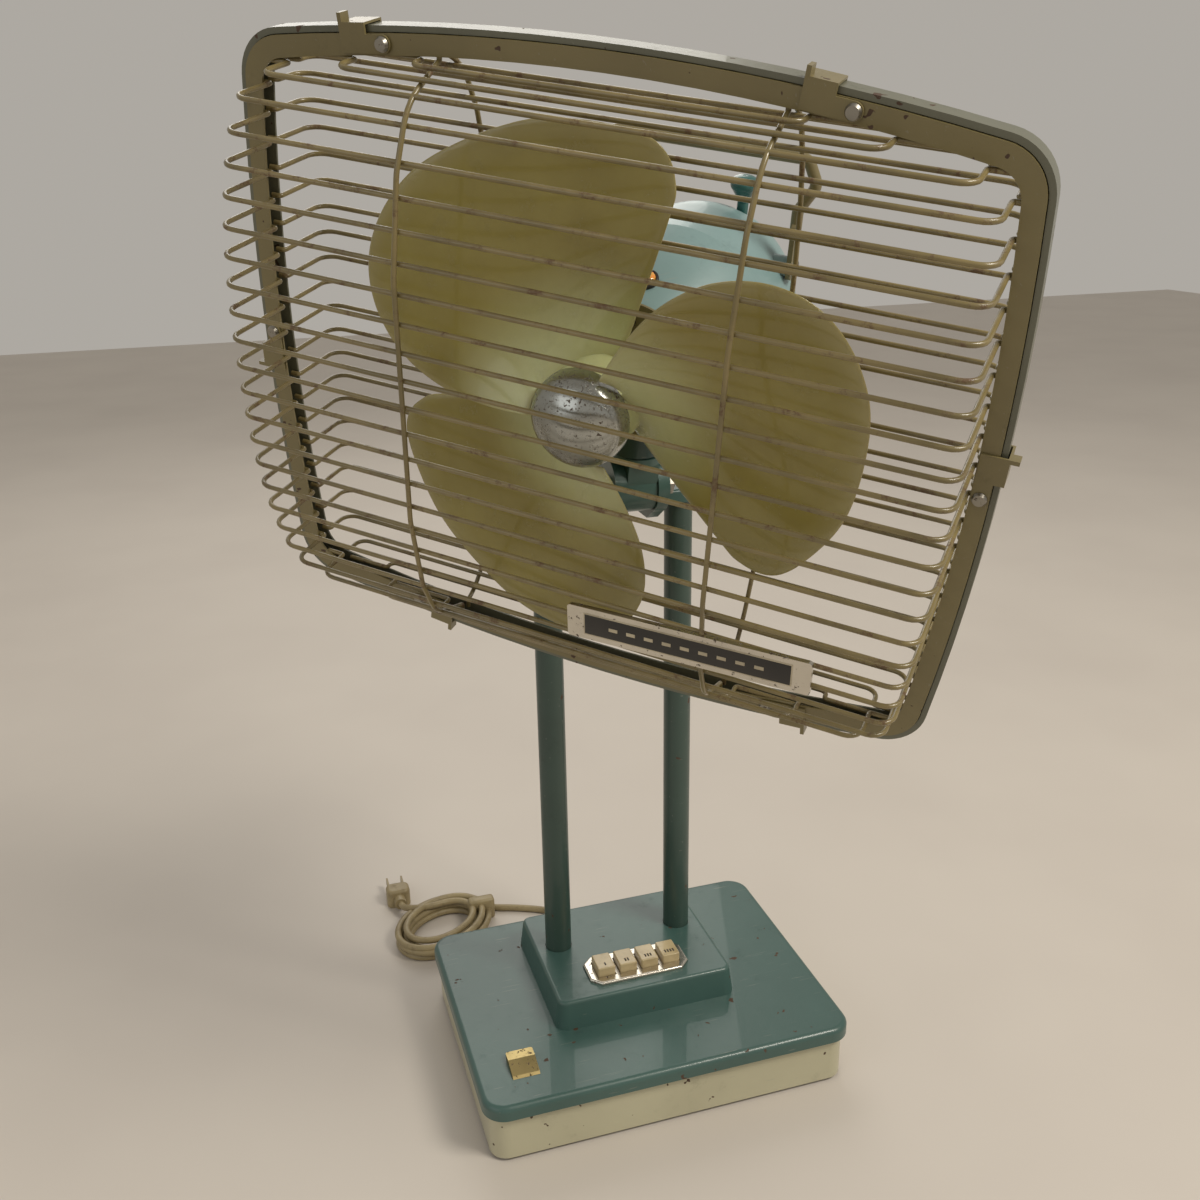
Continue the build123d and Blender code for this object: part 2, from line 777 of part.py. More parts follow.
# ---- carry handle -----------------------------------------------------------------------
strip_high = strip_low + 36.0
strip_w = 11.0
strip_thick = 3.0
handle_kink = 14.0
handle_points = [
    (strip_x, strip_high - 6),
    (strip_x, strip_high + 6),
    (handle_reach, handle_top - handle_kink),
    (handle_reach - 7, handle_top),
]
handle_route = handle_points + [(-x, z) for x, z in reversed(handle_points)]
with BuildPart() as carry_handle:
    with BuildLine(front(handle_y)) as handle_line:
        FilletPolyline(*handle_route, radius=6.5)
    with BuildSketch(handle_line.line ^ 0):
        Circle(handle_rod / 2)
    sweep(path=handle_line.line)
    for strip_side in (-1, 1):
        strip_left = strip_side * strip_x - strip_thick / 2
        with BuildSketch(side(strip_left, handle_y, (strip_low + strip_high) / 2)):
            SlotOverall(strip_high - strip_low, strip_w, rotation=90)
        extrude(amount=strip_thick)
    for strip_side in (-1, 1):
        with BuildSketch(side(strip_side * strip_x, handle_y, boss_z)):
            Circle(2.1)
        extrude(amount=strip_thick, both=True, mode=Mode.SUBTRACT)

screw_seats = [
    Plane(
        head.from_local_coords((strip_side * (strip_x + strip_thick / 2), handle_y, boss_z)),
        x_dir=head.z_dir,
        z_dir=head.x_dir * strip_side,
    )
    for strip_side in (-1, 1)
]
screw_seats += [
    front(
        bell_mouth_y - strap_thick,
        strap_screw_r * cos(radians(angle)),
        strap_screw_r * sin(radians(angle)),
    )
    for angle in (90, 210, 330)
]
with BuildPart() as head_screws:
    for seat in screw_seats:
        with BuildSketch(seat):
            Circle(screw_head_r)
        extrude(amount=2.4)
        with BuildSketch(seat):
            Circle(screw_r)
        extrude(amount=-screw_len)
        with BuildSketch(seat.offset(2.4)):
            Rectangle(2 * screw_head_r, 1.0)
        extrude(amount=-1.0, mode=Mode.SUBTRACT)

# ---- guard ------------------------------------------------------------------------------
def guard_face(grow):
    """Television-shaped outline of the guard, grown by this much."""
    a = side_half + grow
    b = top_half + grow
    with BuildSketch(mode=Mode.PRIVATE) as outline:
        with BuildLine():
            ThreePointArc((-a, b), (0, b + top_bulge), (a, b))
            ThreePointArc((a, b), (a + side_bulge, 0), (a, -b))
            ThreePointArc((a, -b), (0, -b - top_bulge), (-a, -b))
            ThreePointArc((-a, -b), (-a - side_bulge, 0), (-a, b))
        make_face()
        fillet(outline.vertices(), corner_radius + grow)
    return outline.sketch


def row_reach(height, inset):
    """Half length of a row at this height that stays this far inside the outline."""
    corner = corner_radius - inset
    corner_x = side_half - inset - corner
    corner_z = top_half - inset - corner
    h = abs(height)
    if h <= corner_z:
        return side_half - inset + side_bulge * (1 - (h / (top_half - inset)) ** 2)
    if h <= top_half - inset:
        return corner_x + sqrt(corner**2 - (h - corner_z) ** 2)
    return min(corner_x, (side_half - inset) * sqrt(1 - (h - top_half + inset) / top_bulge))


def dish(depth, height):
    """Place along the axis of a basket's face at this height above it."""
    return depth * sqrt(1 - (abs(height) / profile_half) ** 3)


def beside(depth, height, gap):
    """Point (depth, height) this far outside the basket's face at a height above the axis."""
    slope = dish(depth, height + 0.5) - dish(depth, height - 0.5)
    across = sqrt(1 + slope**2)
    lean = 1 if depth > 0 else -1
    return (dish(depth, height) + lean * gap / across, height - slope * lean * gap / across)


def top_reach(across, inset):
    """Half height of the guard at this distance from its middle."""
    return top_half - inset + top_bulge * (1 - (across / (side_half - inset)) ** 2)


row_heights = [row_pitch * (i - (row_count - 1) / 2) for i in range(row_count)]
row_heights += [sign * height for height in crowded_rows for sign in (-1, 1)]
stiffener_gap = wire_d + 0.8                      # from a row's centre line to a stiffener's
front_stations = (148.0, 120.0, 70.0)
rear_stations = (158.0, 148.0, 132.0, 108.0, 76.0, 30.0)
wire_r = wire_d / 2
weld_gap = 0.05                                   # between a wire and what it is welded to
leg_inset = flange_w + wire_r + 0.5
rear_leg_inset = rear_flange_w + wire_r + 0.5
front_foot = sheet + wire_r + weld_gap
rear_foot = hoop_back - sheet - wire_r - weld_gap
foot_len = 5.0
foot_bend = 1.8

with BuildPart() as front_guard_rim:
    with BuildSketch(front(0)):
        add(guard_face(0))
        add(guard_face(-flange_w), mode=Mode.SUBTRACT)
    extrude(amount=-sheet)
    with BuildSketch(front(0)):
        add(guard_face(0))
        add(guard_face(-sheet), mode=Mode.SUBTRACT)
    extrude(amount=-front_skirt)

with BuildPart() as rear_guard_rim:
    with BuildSketch(front(hoop_front)):
        add(guard_face(hoop_out))
        add(guard_face(hoop_in), mode=Mode.SUBTRACT)
    extrude(amount=hoop_front - hoop_back)
    with BuildSketch(front(hoop_back - sheet)):
        add(guard_face(hoop_out))
        add(guard_face(-rear_flange_w), mode=Mode.SUBTRACT)
    extrude(amount=-sheet)

with BuildPart() as front_guard_wires:
    for height in row_heights:
        reach = row_reach(height, leg_inset)
        face_y = dish(-front_depth, height)
        bend = min(wire_bend, 0.55 * (front_foot - face_y))
        foot_end = row_reach(height, 0.6 * flange_w)
        half = [(-foot_end, front_foot), (-reach, front_foot), (-reach, face_y)]
        with BuildLine(level(height)) as row_line:
            mirrored = [(-x, y) for x, y in reversed(half)]
            FilletPolyline(*half, *mirrored, radius=[foot_bend, bend, bend, foot_bend])
        with BuildSketch(row_line.line ^ 0):
            Circle(wire_r)
        sweep(path=row_line.line)
    for across in (-stiffener_x, stiffener_x):
        reach = top_reach(across, leg_inset)
        upper = [(front_foot, reach + foot_len), (front_foot, reach)]
        upper += [beside(-front_depth, z, -stiffener_gap) for z in front_stations]
        with BuildLine(side(across)) as stiffener_line:
            FilletPolyline(*upper, *[(y, -z) for y, z in reversed(upper)], radius=foot_bend)
        with BuildSketch(stiffener_line.line ^ 0):
            Circle(wire_r)
        sweep(path=stiffener_line.line)

with BuildPart() as rear_guard_wires:
    for height in row_heights[:-2]:
        reach = row_reach(height, rear_leg_inset)
        face_y = dish(rear_depth, height)
        bend = min(wire_bend, 0.55 * (face_y - rear_foot))
        foot_end = row_reach(height, 0.6 * rear_flange_w)
        half = [(-foot_end, rear_foot), (-reach, rear_foot), (-reach, face_y)]
        if not window_bottom < height < window_top:
            routes = [half + [(-x, y) for x, y in reversed(half)]]
            radii = [foot_bend, bend, bend, foot_bend]
        else:
            cut = half + [(-stiffener_x + 2.5, face_y)]
            routes = [cut, [(-x, y) for x, y in cut]]
            radii = [foot_bend, bend]
        for route in routes:
            with BuildLine(level(height)) as row_line:
                FilletPolyline(*route, radius=radii)
            with BuildSketch(row_line.line ^ 0):
                Circle(wire_r)
            sweep(path=row_line.line)
    for across in (-stiffener_x, stiffener_x):
        reach = top_reach(across, rear_leg_inset)
        upper = [(rear_foot, reach + foot_len), (rear_foot, reach)]
        upper += [beside(rear_depth, z, stiffener_gap) for z in rear_stations]
        with BuildLine(side(across)) as stiffener_line:
            FilletPolyline(*upper, *[(y, -z) for y, z in reversed(upper)], radius=foot_bend)
        with BuildSketch(stiffener_line.line ^ 0):
            Circle(wire_r)
        sweep(path=stiffener_line.line)

strap_w = 22.0
strap_ring_r = 42.0
strap_hole_r = 22.0
with BuildPart() as guard_strap:
    with BuildSketch(front(bell_mouth_y)):
        Circle(strap_ring_r)
        Rectangle(2 * stiffener_x + 8, strap_w)
        Circle(strap_hole_r, mode=Mode.SUBTRACT)
        with PolarLocations(strap_screw_r, 3, start_angle=90):
            Circle(screw_r + play / 2, mode=Mode.SUBTRACT)
    extrude(amount=strap_thick)

# ---- swing clips ------------------------------------------------------------------------
clip_x = 118.0
clip_len = 24.0
clip_pivot_in = flange_w / 2
clip_r = 4.4
clip_wall = 1.2
clip_start = 9.0
rivet_r = 2.0
clip_out = hoop_out + 2 * play
bulge_slope = 2 * top_bulge * clip_x / side_half**2
outline_z = top_half + top_bulge * (1 - (clip_x / side_half) ** 2)
clip_sites = {
    "clip_top_left": ((-clip_x, outline_z), (-bulge_slope, 1)),
    "clip_top_right": ((clip_x, outline_z), (bulge_slope, 1)),
    "clip_right": ((side_half + side_bulge, 0), (1, 0)),
    "clip_bottom_right": ((clip_x, -outline_z), (bulge_slope, -1)),
    "clip_bottom_left": ((-clip_x, -outline_z), (-bulge_slope, -1)),
    "clip_left": ((-side_half - side_bulge, 0), (-1, 0)),
}


def clip_plane(site):
    """Plane of a clip's rivet: sketch axes run along the rim and outward, normal rearward."""
    (x, z), (nx, nz) = site
    outward = (head.x_dir * nx + head.z_dir * nz).normalized()
    origin = head.from_local_coords((x, 0, z)) - outward * clip_pivot_in
    return Plane(origin, x_dir=outward.cross(head.y_dir), z_dir=head.y_dir)


clips = {}
for clip_name, clip_site in clip_sites.items():
    pivot = clip_plane(clip_site)
    web_v = clip_pivot_in + clip_out
    with BuildPart() as clip:
        with BuildSketch(pivot.offset(-play - clip_wall)):
            Circle(clip_r)
            with Locations(((clip_start + 2) / 2, 0)):
                Rectangle(clip_start + 2, 2 * clip_r)
            with Locations((clip_start, -clip_r)):
                Rectangle(clip_len - clip_start, clip_r + web_v + clip_wall, align=(Align.MIN, Align.MIN))
            Circle(rivet_r + running_fit, mode=Mode.SUBTRACT)
        extrude(amount=clip_wall)
        with BuildSketch(pivot.offset(-play - clip_wall)):
            with Locations((clip_start, web_v)):
                Rectangle(clip_len - clip_start, clip_wall, align=(Align.MIN, Align.MIN))
        extrude(amount=hoop_back + 2 * play + 2 * clip_wall)
        with BuildSketch(pivot.offset(hoop_back + play)):
            with Locations((clip_start, -1.5)):
                Rectangle(clip_len - clip_start, 1.5 + web_v, align=(Align.MIN, Align.MIN))
        extrude(amount=clip_wall)
        with BuildSketch(pivot.offset(-play - clip_wall)):
            with Locations((clip_len - 2.2, web_v)):
                Rectangle(2.2, 5.5, align=(Align.MIN, Align.MIN))
        extrude(amount=7.0)
    clips[clip_name] = clip

with BuildPart() as clip_rivets:
    for clip_site in clip_sites.values():
        pivot = clip_plane(clip_site)
        with BuildSketch(pivot.offset(-2 * play - clip_wall)):
            Circle(rivet_r)
        extrude(amount=2 * play + clip_wall)
        with BuildSketch(pivot.offset(-2 * play - clip_wall)):
            Circle(rivet_r + 1.8)
        extrude(amount=-1.8, taper=25)

# ---- badge ------------------------------------------------------------------------------
badge_len = 140.0
badge_w = 21.0
badge_x = 80.0
badge_z = -104.0
badge_angle = 3.0
badge_back = dish(-front_depth, badge_z + badge_w / 2) - wire_r - 0.1
badge_thick = 3.0
with BuildPart() as badge_bar:
    with BuildSketch(front(badge_back, badge_x, badge_z)):
        with Locations(Rotation(0, 0, badge_angle)):
            RectangleRounded(badge_len, badge_w, 2.0)
    extrude(amount=badge_thick)

# ---- blades and spinner -----------------------------------------------------------------
blade_root = 20.0
root_r = spinner_r + 1.5


def polar(radius, angle):
    """Point of a blade's outline; the angle is counted from its leading edge."""
    return (radius * cos(radians(angle)), radius * sin(radians(angle)))


tip_curve = [(118, 2), (134, 6), (142, 14), (147, 34), (150, 56), (150, 70), (144, 82), (130, 92)]
tip_curve += [(108, 101), (80, 108), (50, 112), (root_r, 112.5)]
with BuildPart() as blade:
    with BuildLine() as root_edge:
        Helix(pitch=blade_rise * 360 / blade_span, height=blade_rise, radius=blade_root)
    with BuildLine() as tip_edge:
        Helix(pitch=blade_rise * 360 / blade_span, height=blade_rise, radius=blade_r + 5)
    ribbon = Face.make_surface_from_curves(root_edge.edge(), tip_edge.edge())
    thicken(ribbon, amount=blade_thick / 2, both=True)
    with BuildSketch():
        with BuildLine():
            Line(polar(blade_root + 2, 0.5), polar(*tip_curve[0]))
            Spline(*[polar(*place) for place in tip_curve])
            Polyline(
                polar(*tip_curve[-1]),
                polar(root_r, 82),
                polar(blade_root + 2, 78),
                polar(blade_root + 2, 0.5),
            )
        make_face()
    extrude(amount=blade_rise + 10, both=True, mode=Mode.INTERSECT)

blade_seats = [
    Plane(
        head.from_local_coords((0, blade_rise / 2, 0)),
        x_dir=head.x_dir * cos(radians(angle)) + head.z_dir * sin(radians(angle)),
        z_dir=-head.y_dir,
    )
    for angle in [blade_start + 360 / blade_count * k for k in range(blade_count)]
]
with BuildPart() as blade_set:
    with BuildSketch(front(hub_back)):
        Circle(hub_r)
        Circle(shaft_d / 2, mode=Mode.SUBTRACT)
    extrude(amount=hub_back - hub_front)
    for seat in blade_seats:
        add(seat * blade.part)

with BuildPart() as spinner_cap:
    with BuildSketch(side(0)):
        with BuildLine():
            Line((hub_front, 0), (hub_front, spinner_r))
            Line((hub_front, spinner_r), (hub_front - 4, spinner_r))
            Spline(
                (hub_front - 4, spinner_r),
                (spinner_front + 5, spinner_r * 0.66),
                (spinner_front, 0),
                tangents=[(-1, 0), (0, -1)],
            )
            Line((spinner_front, 0), (hub_front, 0))
        make_face()
    revolve(axis=rotor_axis)
    with BuildSketch(front(hub_front)):
        Circle(spinner_r - 2.5)
    extrude(amount=5.0, mode=Mode.SUBTRACT)
    with BuildSketch(front(hub_front)):
        Circle(spinner_r * 0.6)
    extrude(amount=14.0, mode=Mode.SUBTRACT)
    with BuildSketch(front(hub_front)):
        Circle(shaft_d / 2 + play)
    extrude(amount=hub_front - shaft_front + 1, mode=Mode.SUBTRACT)

# ---- cord -------------------------------------------------------------------------------
gland_out = 104.0
gland_in = 88.0
cord_r = cord_d / 2
cord_points = [
    (cord_exit_x, gland_out, cord_exit_z),
    (cord_exit_x, 124, cord_exit_z),
    (-3, 147, 5.5),
    (-20, 166, 2.9),
    (-44, 178, 2.9),
    (-66, 185.5, 2.9),
]


def bend_radius(before, corner, after):
    """Largest comfortable radius at a corner of the cord's route."""
    run_in = Vector(*corner) - Vector(*before)
    run_out = Vector(*after) - Vector(*corner)
    shorter = min(run_in.length, run_out.length)
    return 0.45 * shorter / tan(radians(run_in.get_angle(run_out)) / 2)


cord_radii = [bend_radius(*cord_points[i - 1 : i + 2]) for i in range(1, len(cord_points) - 1)]
with BuildPart() as cord:
    with BuildLine() as cord_route:
        FilletPolyline(*cord_points, radius=cord_radii)
    with BuildSketch(cord_route.line ^ 0):
        Circle(cord_r)
    sweep(path=cord_route.line)
straight_volume = pi * cord_r**2 * cord_route.wire().length
print("cord bends", [round(radius, 1) for radius in cord_radii])
print("cord volume", round(cord.part.volume, 1), "section x length", round(straight_volume, 1))

with BuildPart() as cord_gland:
    with BuildSketch(Plane.XZ.offset(-gland_out)):
        with Locations((cord_exit_x, cord_exit_z)):
            Circle(gland_r)
    extrude(amount=gland_out - gland_in)
    with BuildSketch(Plane.XZ.offset(-skirt_d / 2)):
        with Locations((cord_exit_x, cord_exit_z)):
            Circle(gland_r + 1.8)
            Circle(gland_r, mode=Mode.SUBTRACT)
    extrude(amount=-2.5)

hank_height = 20.0
hank_face = Vector(*cord_points[-1]) - Vector(*cord_points[-2])
hank_across = Vector(-hank_face.Y, hank_face.X).normalized()
hank_near = Vector(*cord_points[-1][:2]) + hank_across * -9
hank_far = Vector(*cord_points[-1][:2]) + hank_across * 9
with BuildPart() as cord_hank:
    with BuildSketch():
        Polygon(
            (hank_near.X, hank_near.Y),
            (-87, 200),
            (-120, 208),
            (-152, 208),
            (-154, 176),
            (-149, 146),
            (-133, 127),
            (-104, 128),
            (-78, 150),
            (hank_far.X, hank_far.Y),
            align=None,
        )
    extrude(amount=hank_height)
    fillet(cord_hank.faces().sort_by(Axis.Z)[-1].edges(), 4.0)

plug_x = -140.0
plug_y = 208.0
plug_w = 20.0
plug_len = 24.0
plug_h = 16.0
prong_len = 16.0
prong_w = 6.3
prong_gap = 12.7
relief_len = 8.0
with BuildPart() as plug:
    with BuildSketch():
        with Locations((plug_x, plug_y + (plug_len + relief_len) / 2)):
            RectangleRounded(plug_w, plug_len - relief_len, 5.0)
    extrude(amount=plug_h)
    fillet(plug.faces().sort_by(Axis.Z)[-1].edges(), 3.0)
    with BuildSketch(Plane.XZ.offset(-plug_y)):
        with Locations((plug_x, plug_h / 2)):
            Circle(5.0)
    extrude(amount=-relief_len - 3)
    with BuildSketch(Plane.XZ.offset(-plug_y - plug_len)):
        with Locations((plug_x - prong_gap / 2, plug_h / 2), (plug_x + prong_gap / 2, plug_h / 2)):
            Rectangle(1.5, prong_w)
    extrude(amount=-prong_len)

# ---- files ------------------------------------------------------------------------------
pieces = {
    "base_cover": base_cover,
    "base_skirt": base_skirt,
    "base_floor_plate": base_floor_plate,
    "base_ballast": base_ballast,
    "base_pad": base_pad,
    "base_screws": base_screws,
    "emblem_plate": emblem_plate,
    "post_nuts": post_nuts,
    "key_bezel": key_bezel,
    "switch_body": switch_body,
    "yoke_bridge": yoke_bridge,
    "tilt_bolt": tilt_bolt,
    "tilt_nut": tilt_nut,
    "tilt_head": tilt_head,
    "swivel_pin": swivel_pin,
    "link_arm": link_arm,
    "link_pin": link_pin,
    "motor_neck": motor_neck,
    "motor_front_housing": motor_front_housing,
    "motor_rear_cover": motor_rear_cover,
    "oil_cap": oil_cap,
    "motor_front_plate": motor_front_plate,
    "front_bearing": front_bearing,
    "motor_rear_plate": motor_rear_plate,
    "rear_bearing": rear_bearing,
    "stator": stator,
    "stator_windings": stator_windings,
    "rotor": rotor,
    "rotor_shaft": rotor_shaft,
    "worm": worm,
    "worm_wheel": worm_wheel,
    "crank_arm": crank_arm,
    "oscillation_knob": oscillation_knob,
    "carry_handle": carry_handle,
    "head_screws": head_screws,
    "front_guard_rim": front_guard_rim,
    "front_guard_wires": front_guard_wires,
    "rear_guard_rim": rear_guard_rim,
    "rear_guard_wires": rear_guard_wires,
    "guard_strap": guard_strap,
    "clip_rivets": clip_rivets,
    "badge_bar": badge_bar,
    "blade_set": blade_set,
    "spinner_cap": spinner_cap,
    "cord": cord,
    "cord_gland": cord_gland,
    "cord_hank": cord_hank,
    "plug": plug,
    **posts,
    **keys,
    **clips,
}
for piece_name, piece in pieces.items():
    export(piece, piece_name)
print(len(pieces), "nodes")
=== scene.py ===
# Pedestal desk fan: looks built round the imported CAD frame.
import json
import math

import bmesh
import bpy
from mathutils import Matrix, Vector


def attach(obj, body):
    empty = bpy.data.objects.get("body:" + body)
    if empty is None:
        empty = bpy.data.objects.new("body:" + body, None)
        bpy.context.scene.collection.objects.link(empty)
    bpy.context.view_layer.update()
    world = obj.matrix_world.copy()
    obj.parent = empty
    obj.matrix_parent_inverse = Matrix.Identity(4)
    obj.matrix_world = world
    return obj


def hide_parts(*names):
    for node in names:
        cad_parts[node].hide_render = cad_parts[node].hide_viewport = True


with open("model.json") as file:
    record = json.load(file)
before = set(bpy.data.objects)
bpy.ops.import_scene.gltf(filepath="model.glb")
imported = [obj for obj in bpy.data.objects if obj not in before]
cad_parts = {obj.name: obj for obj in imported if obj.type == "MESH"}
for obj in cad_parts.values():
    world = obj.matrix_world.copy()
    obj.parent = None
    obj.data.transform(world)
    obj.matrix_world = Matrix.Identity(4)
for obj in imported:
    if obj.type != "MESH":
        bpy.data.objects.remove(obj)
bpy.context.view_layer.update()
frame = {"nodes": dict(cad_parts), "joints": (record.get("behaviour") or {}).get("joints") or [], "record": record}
nodes = frame["nodes"]
joints = {j["name"]: j for j in frame["joints"]}
print("frame loaded:", len(nodes), "CAD nodes")

mm = 0.001
scene = bpy.context.scene
scene.view_settings.view_transform = "Standard"

# the fan head's own axes, read from its joints: right, rearward, up
headOrigin = Vector(joints["rotor_spin"]["pos_m"])
headBack = Vector(joints["rotor_spin"]["axis"]).normalized()
headUp = Vector(joints["oscillate"]["axis"]).normalized()
headRight = headBack.cross(headUp).normalized()
headMatrix = Matrix((headRight, headBack, headUp)).transposed()


def headPoint(x, y, z):
    return headOrigin + headMatrix @ Vector((x, y, z)) * mm


view = {
    "place": (-0.2391, -0.7083, 0.6159),
    "azimuth": 17.28,  # from +Y towards +X
    "pitch": 20.01,
    "roll": 0.96,
    "lens": 36.48,
    "sensor": 36,
}


def makeCamera():
    azimuth, pitch, roll = (math.radians(view[k]) for k in ("azimuth", "pitch", "roll"))
    level = math.cos(pitch)
    ahead = Vector((math.sin(azimuth) * level, math.cos(azimuth) * level, -math.sin(pitch)))
    flat = Vector((math.cos(azimuth), -math.sin(azimuth), 0))
    top = flat.cross(ahead)
    right = flat * math.cos(roll) - top * math.sin(roll)
    up = right.cross(ahead)
    camera = bpy.data.cameras.new("camera")
    camera.lens = view["lens"]
    camera.sensor_width = view["sensor"]
    holder = bpy.data.objects.new("camera", camera)
    turned = Matrix((right, up, -ahead)).transposed().to_4x4()
    holder.matrix_world = Matrix.Translation(view["place"]) @ turned
    scene.collection.objects.link(holder)
    scene.camera = holder


makeCamera()


class Field:
    # one shader socket, so that maths on it reads as maths

    def __init__(self, paint, socket):
        self.paint = paint
        self.socket = socket

    def __add__(self, other):
        return self.paint.math("ADD", self, other)

    __radd__ = __add__

    def __mul__(self, other):
        return self.paint.math("MULTIPLY", self, other)

    __rmul__ = __mul__

    def __sub__(self, other):
        return self.paint.math("SUBTRACT", self, other)

    def __rsub__(self, other):
        return self.paint.math("SUBTRACT", other, self)


class Paint:
    # a material being mixed

    def __init__(self, name):
        self.material = bpy.data.materials.new(name)
        self.material.use_nodes = True
        self.tree = self.material.node_tree
        self.tree.nodes.clear()
        self.place = self.node("ShaderNodeTexCoord", out="Object")

    def node(self, kind, settings=None, inputs=None, out=0):
        made = self.tree.nodes.new(kind)
        for key, value in (settings or {}).items():
            if key == "stops":
                ramp = made.color_ramp
                while len(ramp.elements) < len(value):
                    ramp.elements.new(0.5)
                for element, (at, colour) in zip(ramp.elements, value):
                    element.position = at
                    element.color = (*colour, 1)
            else:
                setattr(made, key, value)
        for key, value in (inputs or {}).items():
            if isinstance(value, Field):
                self.tree.links.new(value.socket, made.inputs[key])
            else:
                made.inputs[key].default_value = value
        return Field(self, made.outputs[out])

    def math(self, operation, a, b):
        return self.node("ShaderNodeMath", {"operation": operation}, {0: a, 1: b})

    def noise(self, scale, detail=3.0, rough=0.55, at=None):
        sockets = {"Vector": at or self.place, "Scale": scale, "Detail": detail, "Roughness": rough}
        return self.node("ShaderNodeTexNoise", None, sockets)

    def between(self, value, low, high):
        # 0 below low, 1 above high, soft in between
        sockets = {"Value": value, "From Min": low, "From Max": high}
        return self.node("ShaderNodeMapRange", {"interpolation_type": "SMOOTHSTEP"}, sockets)

    def stretched(self, scale):
        return self.node("ShaderNodeMapping", None, {"Vector": self.place, "Scale": scale})

    def blend(self, factor, a, b):
        a, b = (c if isinstance(c, Field) else (*c, 1) for c in (a, b))
        return self.node("ShaderNodeMix", {"data_type": "RGBA"}, {0: factor, 6: a, 7: b}, out=2)

    def bump(self, height, strength, distance):
        sockets = {"Height": height, "Strength": strength, "Distance": distance}
        return self.node("ShaderNodeBump", None, sockets)

    def finish(self, **sockets):
        shader = self.node("ShaderNodeBsdfPrincipled", None, sockets, out="BSDF")
        target = self.tree.nodes.new("ShaderNodeOutputMaterial")
        self.tree.links.new(shader.socket, target.inputs["Surface"])
        return self.material


# wear that every finish of its kind shares
wear = {
    "enamelRough": 0.34,
    "enamelCoat": 0.25,
    "chip": (0.075, 0.042, 0.024),  # metal gone brown under the paint
    "scratch": (0.30, 0.29, 0.25),
    "pit": (0.09, 0.062, 0.038),  # rust in the plating
    "wireRust": (0.105, 0.048, 0.02),
    "bladeDust": (0.14, 0.115, 0.05),
    "cordDirt": (0.11, 0.08, 0.045),
}


def enamel(name, top, dark, rust):
    # stoved paint: uneven tone, grime, fine scratches, chips down to brown metal
    p = Paint(name)
    broad = p.between(p.noise(9, 4), 0.35, 0.7)
    fine = p.noise(150, 3, 0.7)
    colour = p.blend(broad * 0.55, top, dark)
    grime = p.between(p.noise(38, 6, 0.75), 0.56, 0.78)
    colour = p.blend(grime * 0.35, colour, tuple(c * 0.45 for c in dark))
    chips = p.between(p.noise(120, 2, 0.5), 0.735 - rust * 0.06, 0.75 - rust * 0.06)
    colour = p.blend(chips, colour, wear["chip"])
    scratch = p.noise(1.0, 2, 0.5, at=p.stretched((40, 900, 400)))
    marks = p.between(scratch, 0.70, 0.74)
    colour = p.blend(marks * 0.25, colour, wear["scratch"])
    return p.finish(**{
        "Base Color": colour,
        "Roughness": wear["enamelRough"] + 0.25 * grime + 0.3 * chips + 0.08 * fine,
        "Coat Weight": wear["enamelCoat"] - wear["enamelCoat"] * chips,
        "Normal": p.bump(fine - 2.0 * chips, 0.25, 0.0004),
    })


def chrome(name, tone, pits, rough=0.16, grain=300):
    # plating with a haze and rusty pits, more of them where pits is higher
    p = Paint(name)
    crowd = p.between(p.noise(22, 2), 0.38, 0.62)
    spot = p.between(p.noise(grain, 4, 0.7) + 0.05 * crowd, 0.66 - pits * 0.1, 0.71 - pits * 0.1)
    haze = p.between(p.noise(30, 4), 0.4, 0.8)
    colour = p.blend(haze * 0.5, tone, tuple(c * 0.7 for c in tone))
    colour = p.blend(spot, colour, wear["pit"])
    return p.finish(**{
        "Base Color": colour,
        "Metallic": 1.0 - 0.8 * spot,
        "Roughness": rough + 0.22 * haze + 0.45 * spot,
        "Normal": p.bump(1.0 - spot, 0.3, 0.0003),
    })


def moulded(name, top, dark, rough, coat=0.1, scale=30):
    # plastic, rubber or anything plain, a little dirty
    p = Paint(name)
    broad = p.between(p.noise(scale, 4), 0.35, 0.7)
    dirt = p.between(p.noise(scale * 4, 5, 0.7), 0.52, 0.8)
    colour = p.blend(broad, top, dark)
    colour = p.blend(dirt * 0.4, colour, tuple(c * 0.4 for c in dark))
    return p.finish(**{
        "Base Color": colour,
        "Roughness": rough + 0.2 * dirt,
        "Coat Weight": coat,
        "Normal": p.bump(dirt, 0.1, 0.0003),
    })


def wirePaint():
    # enamelled wire with patches of rust
    p = Paint("wire paint")
    tone = p.between(p.noise(24, 4), 0.35, 0.7)
    colour = p.blend(tone, (0.245, 0.19, 0.078), (0.165, 0.13, 0.054))
    rust = p.between(p.noise(75, 6, 0.8), 0.53, 0.66)
    colour = p.blend(rust * 0.8, colour, wear["wireRust"])
    return p.finish(**{
        "Base Color": colour,
        "Roughness": 0.3 + 0.4 * rust,
        "Coat Weight": 0.3,
        "Normal": p.bump(rust, 0.3, 0.0004),
    })


